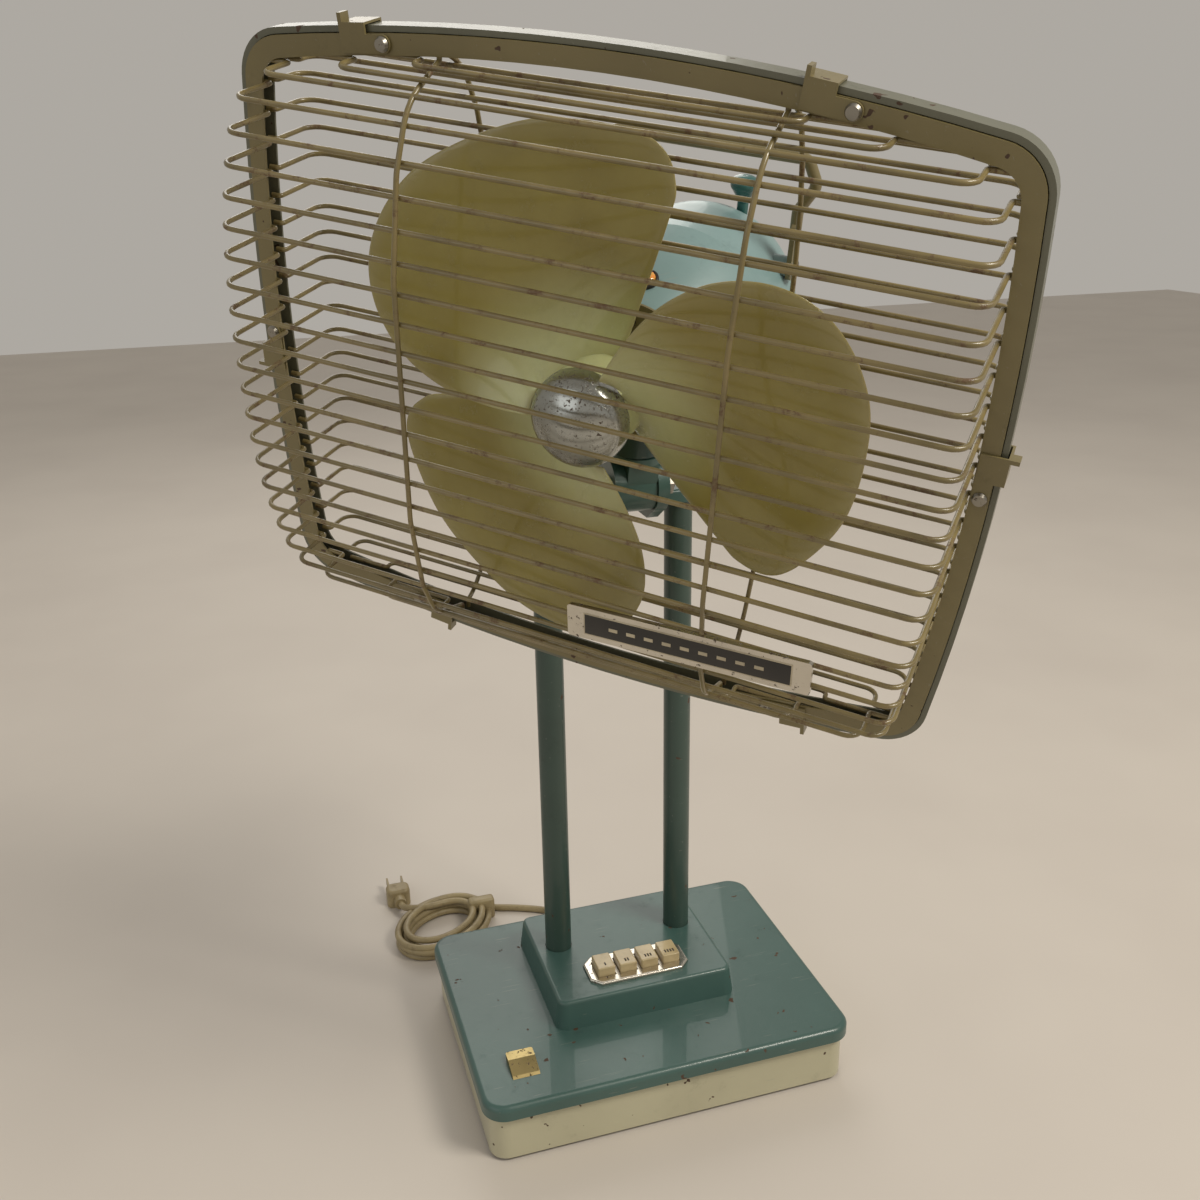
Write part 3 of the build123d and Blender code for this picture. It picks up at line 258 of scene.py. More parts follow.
def bladePlastic():
    # translucent moulding gone yellow, greener and paler towards the hub, with a painted highlight along the edges
    p = Paint("blade plastic")
    hub = p.node("ShaderNodeAttribute", {"attribute_name": "span"}, out="Fac")
    rim = p.node("ShaderNodeAttribute", {"attribute_name": "rim"}, out="Fac")
    cloud = p.between(p.noise(14, 5), 0.3, 0.75)
    colour = p.blend(cloud, (0.34, 0.285, 0.075), (0.255, 0.205, 0.045))
    colour = p.blend(p.between(hub, 0.5, 0.0), colour, (0.56, 0.58, 0.30))
    dust = p.between(p.noise(60, 6, 0.75), 0.48, 0.8)
    colour = p.blend(dust * 0.2, colour, wear["bladeDust"])
    # painted highlight: the blade edges are drawn lighter
    colour = p.blend(rim * 0.6, colour, (0.40, 0.35, 0.17))
    return p.finish(**{
        "Base Color": colour,
        "Roughness": 0.2 + 0.2 * dust,
        "Coat Weight": 0.35,
        "Subsurface Weight": 0.25,
        "Subsurface Radius": (0.5, 0.4, 0.15),
        "Subsurface Scale": 0.004,
    })


def amberLens():
    p = Paint("amber lens")
    cloud = p.noise(300, 3)
    return p.finish(**{
        "Base Color": p.blend(cloud, (0.62, 0.22, 0.03), (0.85, 0.42, 0.08)),
        "Roughness": 0.12,
        "Coat Weight": 0.5,
        "Subsurface Weight": 0.3,
        "Subsurface Scale": 0.003,
    })


def cordVinyl():
    p = Paint("cord vinyl")
    tone = p.between(p.noise(40, 4), 0.3, 0.7)
    dirt = p.between(p.noise(180, 5, 0.7), 0.5, 0.75)
    colour = p.blend(tone, (0.36, 0.29, 0.155), (0.25, 0.195, 0.10))
    colour = p.blend(dirt * 0.5, colour, wear["cordDirt"])
    return p.finish(**{
        "Base Color": colour,
        "Roughness": 0.42 + 0.25 * dirt,
        "Normal": p.bump(dirt, 0.2, 0.0003),
    })


look = {
    "teal_enamel": enamel("teal enamel", (0.052, 0.112, 0.098), (0.036, 0.082, 0.070), 0.35),
    # a darker copy of the teal enamel for the posts: painted shade
    "shaded_post_enamel": enamel("shaded post enamel", (0.038, 0.072, 0.058), (0.024, 0.048, 0.038), 0.1),
    "cream_enamel": enamel("cream enamel", (0.50, 0.475, 0.33), (0.41, 0.385, 0.26), 0.25),
    "blue_enamel": enamel("blue enamel", (0.215, 0.33, 0.335), (0.155, 0.245, 0.245), 0.1),
    "green_enamel": enamel("green enamel", (0.022, 0.060, 0.055), (0.014, 0.038, 0.034), 0.1),
    "olive_enamel": enamel("olive enamel", (0.215, 0.175, 0.075), (0.150, 0.122, 0.054), 0.6),
    "grey_teal_enamel": enamel("grey teal enamel", (0.150, 0.150, 0.105), (0.095, 0.098, 0.070), 0.6),
    "bright_chrome": chrome("bright chrome", (0.66, 0.62, 0.54), 0.25),
    "pitted_chrome": chrome("pitted chrome", (0.46, 0.47, 0.44), 0.45, 0.20, 620),
    "plain_steel": chrome("plain steel", (0.34, 0.32, 0.28), 0.6, 0.36),
    "laminations": moulded("laminations", (0.06, 0.055, 0.05), (0.035, 0.03, 0.028), 0.5),
    "copper_winding": moulded("copper winding", (0.42, 0.16, 0.06), (0.28, 0.10, 0.04), 0.35),
    "brass_part": chrome("brass part", (0.60, 0.44, 0.20), 0.3, 0.3),
    "aged_gold": chrome("aged gold", (0.42, 0.33, 0.15), 0.45, 0.34),
    "cream_key": moulded("cream key", (0.50, 0.40, 0.22), (0.40, 0.31, 0.16), 0.28, 0.25, 60),
    "teal_plastic": moulded("teal plastic", (0.030, 0.135, 0.125), (0.02, 0.095, 0.09), 0.26, 0.3),
    "blade_plastic": bladePlastic(),
    "amber_lens": amberLens(),
    "dark_plastic": moulded("dark plastic", (0.012, 0.011, 0.010), (0.02, 0.017, 0.014), 0.35, 0.2),
    "black_rubber": moulded("black rubber", (0.014, 0.013, 0.012), (0.022, 0.019, 0.016), 0.7, 0.0),
    "cord_vinyl": cordVinyl(),
    "wire_paint": wirePaint(),
    "ink": moulded("ink", (0.035, 0.028, 0.02), (0.06, 0.048, 0.03), 0.4, 0.0),
    "pale_line": moulded("pale line", (0.55, 0.48, 0.34), (0.42, 0.36, 0.25), 0.4, 0.0),
}
for part in frame["record"]["subparts"]:
    obj = nodes[part["node"]]
    for old in obj.material_slots:
        old.material = look[part["material_slot"]]

# three pieces look unlike the rest of their slot; the posts take a darker copy of the teal enamel, which is
# painted shade
ownFinish = {"spinner_cap": "pitted_chrome", "post_left": "shaded_post_enamel", "post_right": "shaded_post_enamel"}
for name, finish in ownFinish.items():
    for old in nodes[name].material_slots:
        old.material = look[finish]
print("materials made:", len(look))


def newObject(name, mesh, materials, body, stands=()):
    for material in materials:
        mesh.materials.append(look[material])
    made = bpy.data.objects.new(name, mesh)
    scene.collection.objects.link(made)
    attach(made, body)
    if stands:
        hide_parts(*stands)
    return made


def meshOf(name, points, faces):
    mesh = bpy.data.meshes.new(name)
    mesh.from_pydata([tuple(p) for p in points], [], faces)
    work = bmesh.new()
    work.from_mesh(mesh)
    bmesh.ops.recalc_face_normals(work, faces=work.faces)
    work.to_mesh(mesh)
    work.free()
    mesh.shade_smooth()
    return mesh


def lathe(name, profile, place, turns=48):
    # closed body of revolution: profile is (radius, height) from one pole to the other
    points, faces, rings = [], [], []
    for radius, height in profile:
        if radius < 1e-6:
            rings.append([len(points)])
            points.append(place(0, 0, height))
        else:
            rings.append(list(range(len(points), len(points) + turns)))
            for k in range(turns):
                angle = 2 * math.pi * k / turns
                points.append(place(radius * math.cos(angle), radius * math.sin(angle), height))
    for a, b in zip(rings, rings[1:]):
        for k in range(turns):
            n = (k + 1) % turns
            if len(a) == 1:
                faces.append((a[0], b[k], b[n]))
            elif len(b) == 1:
                faces.append((a[k], b[0], a[n]))
            else:
                faces.append((a[k], b[k], b[n], a[n]))
    return meshOf(name, points, faces)


def box(name, low, high, place, bevel=0.0):
    # closed block with softened edges
    work = bmesh.new()
    bmesh.ops.create_cube(work, size=1)
    for vertex in work.verts:
        sides = zip(low, high, vertex.co)
        vertex.co = Vector([(a + b) / 2 + share * (b - a) for a, b, share in sides])
    if bevel:
        bmesh.ops.bevel(work, geom=work.edges[:], offset=bevel, segments=3, profile=0.5, affect="EDGES")
    for vertex in work.verts:
        vertex.co = place(*vertex.co)
    bmesh.ops.recalc_face_normals(work, faces=work.faces)
    mesh = bpy.data.meshes.new(name)
    work.to_mesh(mesh)
    work.free()
    mesh.shade_smooth()
    return mesh


def basePoint(x, y, z):
    return Vector((x, y, z)) * mm


# the cord, from its gland through the hank behind the base to the plug
cordSettings = {
    "diameter": 0.0056,
    "length": 1.75,
    "route": [
        (0.006, 0.104, 0.014),
        (0.006, 0.124, 0.014),
        (-0.003, 0.147, 0.0055),
        (-0.020, 0.166, 0.0029),
        (-0.044, 0.178, 0.0029),
        (-0.066, 0.1855, 0.0029),
    ],
    "centre": (-0.111, 0.166),
    "slant": 0.62,  # the hank lies askew, radians
    # half length, half width and height of successive turns: down, up and down again
    "rings": [
        (0.044, 0.034, 0.0029),
        (0.038, 0.028, 0.0029),
        (0.032, 0.022, 0.0029),
        (0.033, 0.023, 0.0085),
        (0.039, 0.029, 0.0085),
        (0.045, 0.035, 0.0085),
        (0.038, 0.028, 0.0141),
        (0.030, 0.020, 0.0141),
        (0.030, 0.020, 0.0141),
    ],
    "turns": 7.2,
    "steps": 20,
    "tail": [
        (-0.120, 0.1872, 0.0141),
        (-0.1345, 0.1925, 0.0125),
        (-0.140, 0.203, 0.0085),
        (-0.140, 0.214, 0.008),
    ],
}


def cordPoints():
    s = cordSettings
    points = [Vector(p) for p in s["route"]]
    centre = Vector((*s["centre"], 0))
    along = Vector((math.cos(s["slant"]), math.sin(s["slant"]), 0))
    across = Vector((-along.y, along.x, 0))
    for k in range(1, int(s["turns"] * s["steps"])):
        turn = k / s["steps"]
        part = turn - int(turn)
        before, after = s["rings"][int(turn)], s["rings"][int(turn) + 1]
        a, b, z = (p * (1 - part) + q * part for p, q in zip(before, after))
        angle = 2 * math.pi * turn
        reach = along * a * math.cos(angle) + across * b * math.sin(angle)
        points.append(centre + reach + Vector((0, 0, z)))
    return points + [Vector(p) for p in s["tail"]]


def makeCord():
    curve = bpy.data.curves.new("cord_run", "CURVE")
    curve.dimensions = "3D"
    curve.resolution_u = 6
    curve.bevel_depth = cordSettings["diameter"] / 2
    curve.bevel_resolution = 3
    curve.use_fill_caps = True
    spline = curve.splines.new("NURBS")
    points = cordPoints()
    spline.points.add(len(points) - 1)
    for point, co in zip(spline.points, points):
        point.co = (*co, 1)
    spline.order_u = 3
    spline.use_endpoint_u = True
    curve.materials.append(look["cord_vinyl"])
    made = bpy.data.objects.new("cord_run", curve)
    scene.collection.objects.link(made)
    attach(made, "base")
    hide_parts("cord", "cord_hank")
    return made, points


cordRun, cordRoute = makeCord()
cordLength = sum((b - a).length for a, b in zip(cordRoute, cordRoute[1:]))
print("cord points:", len(cordRoute), "about", round(cordLength, 3), "m")

# the rubber sleeve at the gland, and the tie that holds the hank together
cordTrim = {
    "reliefAt": (6, 14),  # across and up
    "relief": [(0, 103), (5.0, 103), (5.2, 104.5), (4.6, 110), (3.9, 118), (3.3, 124), (3.0, 126), (0, 126)],
    "reliefTurns": 32,
    "tie": ((-86, 173, 0.0), (-64, 183, 19.5)),
    "tieBevel": 2.5,
}


def reliefPlace(x, z, along):
    across, up = cordTrim["reliefAt"]
    return basePoint(across + x, along, up + z)


relief = lathe("cord_relief", cordTrim["relief"], reliefPlace, cordTrim["reliefTurns"])
newObject("cord_relief", relief, ["black_rubber"], "base")
tie = box("hank_tie", *cordTrim["tie"], basePoint, cordTrim["tieBevel"])
newObject("hank_tie", tie, ["cord_vinyl"], "base")
print("cord trim made")


bladeSettings = {
    "count": 3,
    "start": -48.0,  # angle of the first blade's leading edge
    "span": 112.0,  # degrees that one blade covers
    "rise": 40.0,  # how far it runs front to back over them
    "rootRadius": 22,
    "rootAngles": (0.5, 78.0),
    "rootSteps": 8,
    "rootEnd": (28.5, 82),
    "tip": [
        (118, 2), (134, 6), (142, 14), (147, 34), (150, 56), (150, 70),
        (144, 82), (130, 92), (108, 101), (80, 108), (50, 112), (28.5, 112.5),
    ],
    "half": 1.2,  # half thickness out on the blade
    "fillet": 3.5,  # extra half thickness at the root
    "filletFrom": 24,
    "filletFade": 6,
    "edgeShare": 0.62,  # thickness at the edge, as a share
    "edgeRound": 0.7,
    "middle": (80, 55),  # radius and angle that edges round away from
    "slopeRadius": 30,  # nearer the shaft the sheet gets no steeper
    # painted edge highlight one row in from the edge
    "nearRimHighlight": 0.35,
    "paleFrom": 26,
    "paleOver": 124,
    "columns": 54,
    "rows": 16,
    "hub": [(4.2, 15), (22, 15), (25, 14), (26, 12), (26, -9), (25, -11.2), (22, -12), (4.2, -12)],
    "hubTurns": 64,
}


def through(points, t):
    # Catmull-Rom curve through (radius, angle) points in the plane, at t from 0 to 1
    flat = [Vector((r * math.cos(math.radians(a)), r * math.sin(math.radians(a)))) for r, a in points]
    flat = [2 * flat[0] - flat[1]] + flat + [2 * flat[-1] - flat[-2]]
    lengths = [0.0]
    for a, b in zip(flat[1:-2], flat[2:-1]):
        lengths.append(lengths[-1] + (b - a).length)
    target = t * lengths[-1]
    last = len(lengths) - 2
    k = next((i for i, d in enumerate(lengths[1:]) if d >= target), last)
    u = (target - lengths[k]) / (lengths[k + 1] - lengths[k])
    a, b, c, d = flat[k:k + 4]
    square = 2 * a - 5 * b + 4 * c - d
    cube = 3 * b - a - 3 * c + d
    return 0.5 * (2 * b + (c - a) * u + square * u**2 + cube * u**3)


def polarOf(point):
    return point.length, math.degrees(math.atan2(point.y, point.x)) % 360


def bladePoint(turned, radius, angle, side, edge):
    # a point of the helical sheet, moved out to its front or back face
    s = bladeSettings
    theta = math.radians(turned + angle)
    height = s["rise"] * (0.5 - angle / s["span"])
    lean = math.atan(s["rise"] / math.radians(s["span"]) / max(radius, s["slopeRadius"]))
    normal = Vector((-math.sin(theta) * math.sin(lean), -math.cos(lean), math.cos(theta) * math.sin(lean)))
    place = Vector((radius * math.cos(theta), height, radius * math.sin(theta)))
    half = s["half"] + s["fillet"] * math.exp(-(radius - s["filletFrom"]) / s["filletFade"])
    if edge:
        half *= s["edgeShare"]
    if edge and side == 0:
        middleRadius, middleAngle = s["middle"]
        beta = math.radians(turned + middleAngle)
        out = place - Vector((math.cos(beta) * middleRadius, height, math.sin(beta) * middleRadius))
        out -= normal * out.dot(normal)
        place += out.normalized() * s["edgeRound"]
    return headPoint(*(place + normal * half * side))


def bladeSheets(turned):
    # front, middle and back sheets of points, each with its share of the painted edge highlight and its reach
    s = bladeSettings
    columns, rows = s["columns"], s["rows"]
    first, last = s["rootAngles"]
    root = [(s["rootRadius"], first + (last - first) * k / s["rootSteps"]) for k in range(s["rootSteps"] + 1)]
    root.append(s["rootEnd"])
    sheets = []
    for side in (1, 0, -1):
        for c in range(columns + 1):
            inner, outer = (polarOf(through(line, c / columns)) for line in (root, s["tip"]))
            for r in range(rows + 1):
                f = r / rows
                radius, angle = (a * (1 - f) + b * f for a, b in zip(inner, outer))
                edge = r in (0, rows) or c in (0, columns)
                near = r in (1, rows - 1) or c in (1, columns - 1)
                # how much painted edge highlight this point gets
                rim = 1.0 if edge else (s["nearRimHighlight"] if near else 0.0)
                reach = min(1.0, max(0.0, (radius - s["paleFrom"]) / s["paleOver"]))
                sheets.append((bladePoint(turned, radius, angle, side, edge), rim, reach))
    return sheets


def bladeFaces(base):
    columns, rows = bladeSettings["columns"], bladeSettings["rows"]

    def at(sheet, c, r):
        return base + (sheet * (columns + 1) + c) * (rows + 1) + r

    faces = []
    for c in range(columns):
        for r in range(rows):
            faces.append((at(0, c, r), at(0, c + 1, r), at(0, c + 1, r + 1), at(0, c, r + 1)))
            faces.append((at(2, c, r), at(2, c, r + 1), at(2, c + 1, r + 1), at(2, c + 1, r)))
    loop = [(c, 0) for c in range(columns)] + [(columns, r) for r in range(rows)]
    loop += [(c, rows) for c in range(columns, 0, -1)] + [(0, r) for r in range(rows, 0, -1)]
    for (c1, r1), (c2, r2) in zip(loop, loop[1:] + loop[:1]):
        for a, b in ((0, 1), (1, 2)):
            faces.append((at(a, c1, r1), at(b, c1, r1), at(b, c2, r2), at(a, c2, r2)))
    return faces


def hubRings(base):
    # the hub is a closed ring round the shaft
    profile, turns = bladeSettings["hub"], bladeSettings["hubTurns"]
    points, faces = [], []
    for radius, height in profile:
        for k in range(turns):
            angle = 2 * math.pi * k / turns
            points.append((headPoint(radius * math.cos(angle), height, radius * math.sin(angle)), 0.0, 0.0))
    for j in range(len(profile)):
        this, after = base + j * turns, base + (j + 1) % len(profile) * turns
        for k in range(turns):
            m = (k + 1) % turns
            faces.append((this + k, this + m, after + m, after + k))
    return points, faces


def makeBlades():
    points, faces = [], []
    for index in range(bladeSettings["count"]):
        faces += bladeFaces(len(points))
        points += bladeSheets(bladeSettings["start"] + 360 / bladeSettings["count"] * index)
    hubPoints, hubFaces = hubRings(len(points))
    points += hubPoints
    faces += hubFaces
    # the middle sheet only gives the edges, so its inner points go
    used = sorted({v for f in faces for v in f})
    renamed = {v: n for n, v in enumerate(used)}
    places, rim, reach = zip(*(points[v] for v in used))
    mesh = meshOf("blades", places, [tuple(renamed[v] for v in f) for f in faces])
    for name, values in (("rim", rim), ("span", reach)):
        field = mesh.attributes.new(name, "FLOAT", "POINT")
        field.data.foreach_set("value", values)
    made = newObject("blades", mesh, ["blade_plastic"], "rotor_assembly", ["blade_set"])
    smooth = made.modifiers.new("smooth", "SUBSURF")
    smooth.levels = smooth.render_levels = 1
    bpy.context.view_layer.update()
    done = bpy.data.meshes.new_from_object(made.evaluated_get(bpy.context.evaluated_depsgraph_get()))
    made.modifiers.clear()
    made.data = done
    return made


blades = makeBlades()
print("blades made:", len(blades.data.polygons), "faces")


# guard wires, run along their routes by Geometry Nodes
wireSettings = {
    "radius": 1.4,
    "sides": 12,
    "steps": 5,
    "seed": 11,
    "wobble": 0.0005,
    "halfWidth": 201.9,
    "sideBulge": 9.6,
    "halfHeight": 161.6,
    "topBulge": 16.8,
    "corner": 25.0,
    "pitch": 15.6,
    "rows": 19,
    "crowded": (152.0, 158.4, 162.6),
    "profile": 165.0,
    "front": {
        "depth": -48.5,
        "foot": 2.65,
        "inset": 11.4,
        "footInset": 5.7,
        "stations": (148.0, 120.0, 70.0),
    },
    "rear": {
        "depth": 50.0,
        "foot": 10.35,
        "inset": 9.9,
        "footInset": 4.8,
        "stations": (158.0, 148.0, 132.0, 108.0, 76.0, 30.0),
    },
    "window": (-96.0, 70.0),
    "stiffener": 88.0,
    "gap": 3.6,
    "bend": 9.0,
    "bendShare": 0.55,  # a shallow row bends no wider than this share of its depth
    "stiffenerBend": 30.0,
    "windowClear": 2.5,
    "waveScale": 9.0,
    "footBend": 1.8,
    "footLength": 5.0,
}


def rowReach(height, inset):
    s = wireSettings
    corner = s["corner"] - inset
    cornerX = s["halfWidth"] - inset - corner
    cornerZ = s["halfHeight"] - inset - corner
    h = abs(height)
    if h <= cornerZ:
        return s["halfWidth"] - inset + s["sideBulge"] * (1 - (h / (s["halfHeight"] - inset)) ** 2)
    if h <= s["halfHeight"] - inset:
        return cornerX + math.sqrt(corner**2 - (h - cornerZ) ** 2)
    share = 1 - (h - s["halfHeight"] + inset) / s["topBulge"]
    return min(cornerX, (s["halfWidth"] - inset) * math.sqrt(share))


def dishAt(depth, height):
    return depth * math.sqrt(1 - (abs(height) / wireSettings["profile"]) ** 3)


def outside(depth, height, gap):
    # a point this far from the basket's face, square to it
    slope = dishAt(depth, height + 0.5) - dishAt(depth, height - 0.5)
    across = math.sqrt(1 + slope**2)
    lean = 1 if depth > 0 else -1
    return dishAt(depth, height) + lean * gap / across, height - slope * lean * gap / across


def wireRoutes(basket, heights, window):
    # each route is a list of ((x, y, z), bend radius)
    s = wireSettings
    routes = []
    for height in heights:
        reach = rowReach(height, basket["inset"])
        face = dishAt(basket["depth"], height)
        bend = min(s["bend"], s["bendShare"] * abs(face - basket["foot"]))
        end = rowReach(height, basket["footInset"])
        half = [((-end, basket["foot"]), 0)]
        half += [((-reach, basket["foot"]), s["footBend"]), ((-reach, face), bend)]
        mirrored = [((-x, y), r) for (x, y), r in reversed(half)]
        if window and window[0] < height < window[1]:
            stop = s["stiffener"] - s["windowClear"]
            runs = [half + [((-stop, face), 0)], [((stop, face), 0)] + mirrored]
        else:
            runs = [half + mirrored]
        routes += [[((x, y, height), r) for (x, y), r in run] for run in runs]
    for across in (-s["stiffener"], s["stiffener"]):
        inset = basket["inset"]
        top = s["halfHeight"] - inset + s["topBulge"] * (1 - (across / (s["halfWidth"] - inset)) ** 2)
        upper = [(basket["foot"], top + s["footLength"], 0), (basket["foot"], top, s["footBend"])]
        upper += [(*outside(basket["depth"], z, s["gap"]), s["stiffenerBend"]) for z in basket["stations"]]
        lower = [(y, -z, r) for y, z, r in reversed(upper)]
        routes.append([((across, y, z), r) for y, z, r in upper + lower])
    return routes


def sweepTree():
    tree = bpy.data.node_groups.new("wire sweep", "GeometryNodeTree")
    face = tree.interface
    face.new_socket("Geometry", in_out="INPUT", socket_type="NodeSocketGeometry")
    for name, kind in (
        ("Wire Radius", "NodeSocketFloat"),
        ("Sides", "NodeSocketInt"),
        ("Bend Steps", "NodeSocketInt"),
        ("Wobble", "NodeSocketFloat"),
        ("Seed", "NodeSocketInt"),
        ("Finish", "NodeSocketMaterial"),
    ):
        face.new_socket(name, in_out="INPUT", socket_type=kind)
    face.new_socket("Geometry", in_out="OUTPUT", socket_type="NodeSocketGeometry")

    def add(kind, settings, inputs, out=0):
        made = tree.nodes.new(kind)
        for key, value in settings.items():
            setattr(made, key, value)
        for key, value in inputs.items():
            if isinstance(value, bpy.types.NodeSocket):
                tree.links.new(value, made.inputs[key])
            else:
                made.inputs[key].default_value = value
        return made.outputs[out]

    given = tree.nodes.new("NodeGroupInput").outputs
    lines = add("GeometryNodeMeshToCurve", {}, {"Mesh": given["Geometry"]})
    bend = add("GeometryNodeInputNamedAttribute", {"data_type": "FLOAT"}, {"Name": "bend"})
    corners = {"Curve": lines, "Count": given["Bend Steps"], "Radius": bend, "Limit Radius": True}
    rounded = add("GeometryNodeFilletCurve", {"mode": "POLY"}, corners)
    # hand-bent rows never run quite true
    wave = {"W": given["Seed"], "Scale": wireSettings["waveScale"], "Detail": 1.0}
    waves = add("ShaderNodeTexNoise", {"noise_dimensions": "4D"}, wave, out="Color")
    centred = add("ShaderNodeVectorMath", {"operation": "SUBTRACT"}, {0: waves, 1: (0.5, 0.5, 0.5)})
    scaled = add("ShaderNodeVectorMath", {"operation": "SCALE"}, {0: centred, "Scale": given["Wobble"]})
    moved = add("GeometryNodeSetPosition", {}, {"Geometry": rounded, "Offset": scaled})
    circle = {"Resolution": given["Sides"], "Radius": given["Wire Radius"]}
    ring = add("GeometryNodeCurvePrimitiveCircle", {"mode": "RADIUS"}, circle)
    tube = add("GeometryNodeCurveToMesh", {}, {"Curve": moved, "Profile Curve": ring, "Fill Caps": True})
    soft = add("GeometryNodeSetShadeSmooth", {}, {"Geometry": tube})
    real = add("GeometryNodeRealizeInstances", {}, {"Geometry": soft})
    painted = add("GeometryNodeSetMaterial", {}, {"Geometry": real, "Material": given["Finish"]})
    tree.links.new(painted, tree.nodes.new("NodeGroupOutput").inputs[0])
    return tree


def sweepWires(name, routes, tree, stands):
    points, edges, bends = [], [], []
    for route in routes:
        for index, (place, bend) in enumerate(route):
            if index:
                edges.append((len(points) - 1, len(points)))
            points.append(headPoint(*place))
            bends.append(bend * mm)
    mesh = bpy.data.meshes.new(name)
    mesh.from_pydata(points, edges, [])
    field = mesh.attributes.new("bend", "FLOAT", "POINT")
    field.data.foreach_set("value", bends)
    source = bpy.data.objects.new(name + "_lines", mesh)
    scene.collection.objects.link(source)
    modifier = source.modifiers.new("sweep", "NODES")
    modifier.node_group = tree
    values = {
        "Wire Radius": wireSettings["radius"] * mm,
        "Sides": wireSettings["sides"],
        "Bend Steps": wireSettings["steps"],
        "Wobble": wireSettings["wobble"],
        "Seed": wireSettings["seed"],
        "Finish": look["wire_paint"],
    }
    for item in tree.interface.items_tree:
        if item.in_out == "INPUT" and item.name in values:
            modifier[item.identifier] = values[item.name]
    bpy.context.view_layer.update()
    swept = bpy.data.meshes.new_from_object(source.evaluated_get(bpy.context.evaluated_depsgraph_get()))
    bpy.data.objects.remove(source)
    swept.name = name
    made = bpy.data.objects.new(name, swept)
    scene.collection.objects.link(made)
    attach(made, "fan_head")
    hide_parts(stands)
    return made


def makeWires():
    s = wireSettings
    heights = [s["pitch"] * (i - (s["rows"] - 1) / 2) for i in range(s["rows"])]
    heights += [sign * h for h in s["crowded"] for sign in (-1, 1)]
    tree = sweepTree()
    made = []
    # the rear basket goes without the outermost pair of rows
    for basket, rows, window in (("front", heights, None), ("rear", heights[:-2], s["window"])):
        routes = wireRoutes(s[basket], rows, window)
        made.append(sweepWires(basket + "_wires", routes, tree, basket + "_guard_wires"))
    return made


for wires in makeWires():
    print(wires.name, len(wires.data.polygons), "faces")


trim = {
    "jewelAt": (68.0, 47.3),  # rearward and up
    "jewelSlope": 23.4,
    "jewelRing": [(0, -1.5), (7.4, -1.5), (7.6, 0.2), (7.5, 1.2), (6.9, 1.7), (6.1, 1.6), (5.9, 0.8), (0, 0.8)],
    "jewel": [(0, 0.5), (5.7, 0.5), (5.8, 1.4), (5.4, 2.4), (4.4, 3.2), (2.6, 3.8), (0, 4.0)],
    "badgeAt": (80, -48.36, -104),
    "badgeTurn": 3.0,
    "border": ((-60, -7.2, -0.4), (60, 7.2, 0.25), 0.15),  # corners and bevel
    "inlay": ((-59.2, -6.4, -0.3), (59.2, 6.4, 0.45), 0.12),
    "dash": ((-2.6, -1.1, 0.3), (2.6, 1.1, 0.75), 0.15),
    "dashes": 9,
    "dashPitch": 10.5,
    "keyPitch": 16.2,
    "keyRow": -15.5,
    "mark": ((-0.55, -1.6, 75.8), (0.55, 1.6, 76.02)),
    "markPitch": 2.0,
}


def jewelPlace(x, y, z):
    # x and y across the jewel, z out of the motor
    slope = math.radians(trim["jewelSlope"])
    outward = Vector((0, -math.sin(slope), math.cos(slope)))
    sideways = Vector((1, 0, 0))
    onward = outward.cross(sideways)
    return headPoint(*(Vector((0, *trim["jewelAt"])) + sideways * x + onward * y + outward * z))


def badgePlace(u, v, w):
    # u along the badge, v up it, w out of it
    turn = math.radians(trim["badgeTurn"])
    x, y, z = trim["badgeAt"]
    x += u * math.cos(turn) - v * math.sin(turn)
    z += u * math.sin(turn) + v * math.cos(turn)
    return headPoint(x, y - w, z)


def makeBadge():
    low, high, bevel = trim["border"]
    newObject("badge_border", box("badge_border", low, high, badgePlace, bevel), ["pale_line"], "fan_head")
    low, high, bevel = trim["inlay"]
    newObject("badge_inlay", box("badge_inlay", low, high, badgePlace, bevel), ["dark_plastic"], "fan_head")
    low, high, bevel = trim["dash"]
    for index in range(trim["dashes"]):
        across = trim["dashPitch"] * (index - (trim["dashes"] - 1) / 2)
        left, right = (across + low[0], *low[1:]), (across + high[0], *high[1:])
        bar = box("badge_bar", left, right, badgePlace, bevel)
        newObject(f"badge_dash_{index + 1}", bar, ["pale_line"], "fan_head")


def makeKeyMarks():
    # one stroke more on each key from left to right
    for index, key in enumerate(("off", "low", "medium", "high")):
        work = bmesh.new()
        for dash in range(index + 1):
            across = trim["keyPitch"] * (index - 1.5) + trim["markPitch"] * (dash - index / 2)
            one = box("mark", *trim["mark"], lambda x, y, z: basePoint(across + x, trim["keyRow"] + y, z))
            work.from_mesh(one)
            bpy.data.meshes.remove(one)
        mesh = bpy.data.meshes.new("key_mark")
        work.to_mesh(mesh)
        work.free()
        newObject(f"key_mark_{key}", mesh, ["ink"], key + "_key")


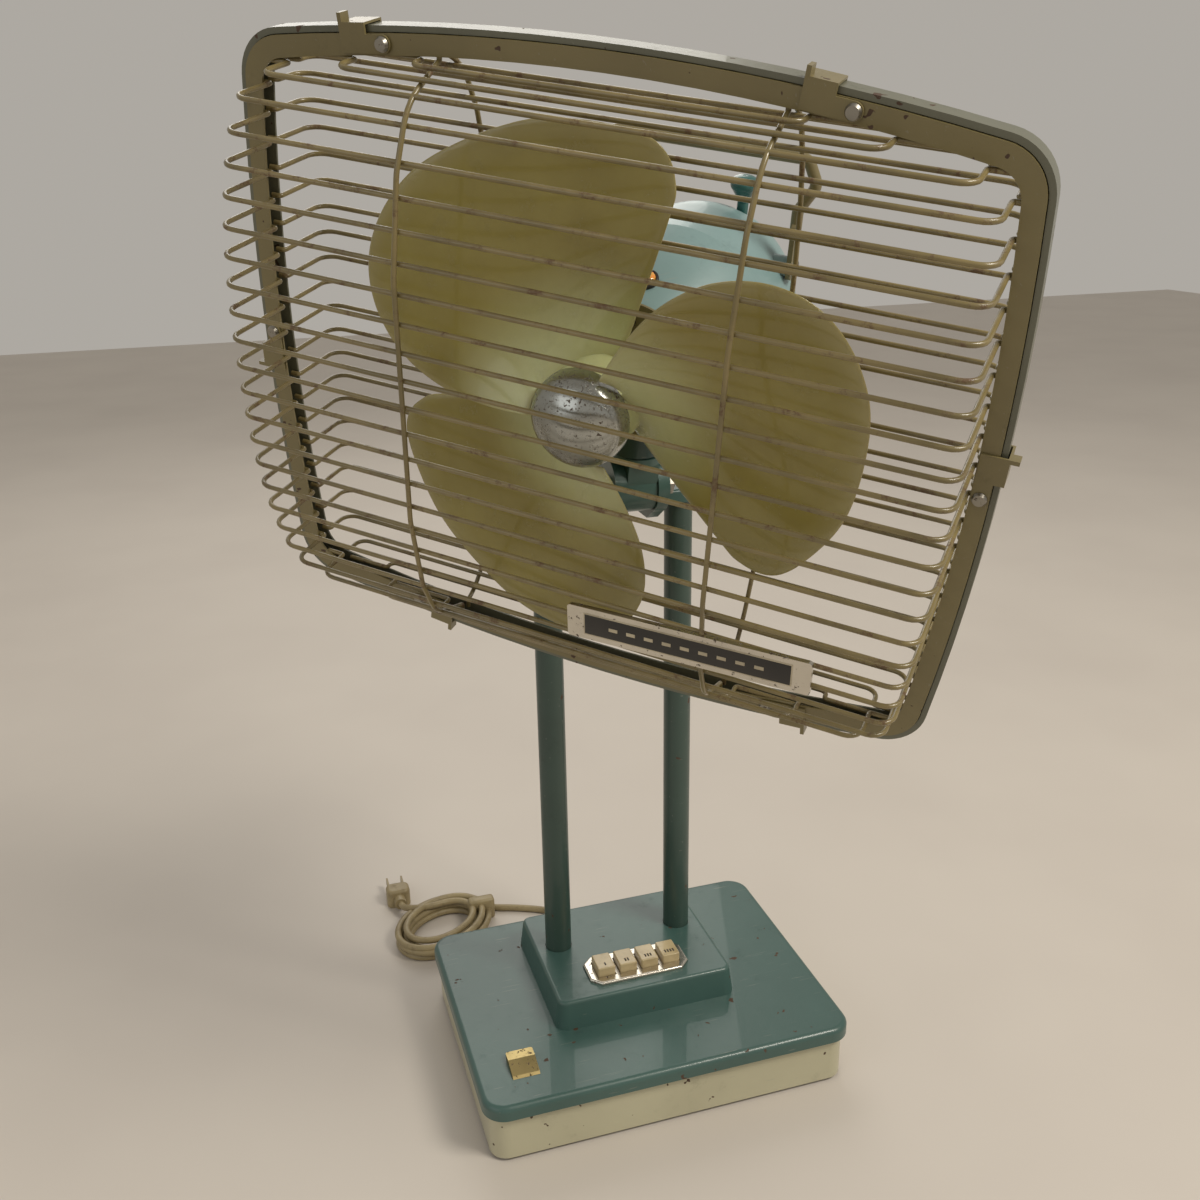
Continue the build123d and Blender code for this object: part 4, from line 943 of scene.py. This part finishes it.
newObject("jewel_ring", lathe("jewel_ring", trim["jewelRing"], jewelPlace), ["dark_plastic"], "fan_head")
jewelMesh = lathe("jewel", trim["jewel"], jewelPlace)
newObject("jewel", jewelMesh, ["amber_lens"], "fan_head", ["oil_cap"])
makeBadge()
makeKeyMarks()
print("trim made")


stage = {
    "floorHalf": 4,
    "floorTones": ((0.62, 0.57, 0.51), (0.58, 0.53, 0.475)),
    "floorRough": 0.6,
    "air": (0.70, 0.66, 0.60, 1),
    "airStrength": 0.6,
    "aim": (0, 0, 0.35),
    "lamps": {  # place, size, power and colour
        "key": ((1.0, -1.1, 1.9), 0.7, 30, (1.0, 0.94, 0.84)),
        "fill": ((-1.8, -0.9, 1.1), 1.4, 4, (0.94, 0.97, 1.0)),
        "back": ((0.2, 1.6, 1.5), 1.2, 9, (1.0, 0.97, 0.92)),
    },
}


def makeFloor():
    paint = Paint("floor")
    tone = paint.between(paint.noise(3, 3), 0.3, 0.8)
    colour = paint.blend(tone, *stage["floorTones"])
    paint.finish(**{"Base Color": colour, "Roughness": stage["floorRough"]})
    h = stage["floorHalf"]
    mesh = bpy.data.meshes.new("floor")
    mesh.from_pydata([(-h, -h, 0), (h, -h, 0), (h, h, 0), (-h, h, 0)], [], [(0, 1, 2, 3)])
    mesh.materials.append(paint.material)
    floor = bpy.data.objects.new("floor", mesh)
    scene.collection.objects.link(floor)


def makeLight():
    studio = bpy.data.worlds.new("studio")
    studio.use_nodes = True
    air = studio.node_tree.nodes["Background"]
    air.inputs["Color"].default_value = stage["air"]
    air.inputs["Strength"].default_value = stage["airStrength"]
    scene.world = studio
    for name, (place, size, power, colour) in stage["lamps"].items():
        lamp = bpy.data.lights.new(name, "AREA")
        lamp.size = size
        lamp.energy = power
        lamp.color = colour
        holder = bpy.data.objects.new(name, lamp)
        holder.location = place
        aim = Vector(stage["aim"]) - Vector(place)
        holder.rotation_euler = aim.to_track_quat("-Z", "Y").to_euler()
        scene.collection.objects.link(holder)


makeFloor()
makeLight()
print("floor and lamps made")
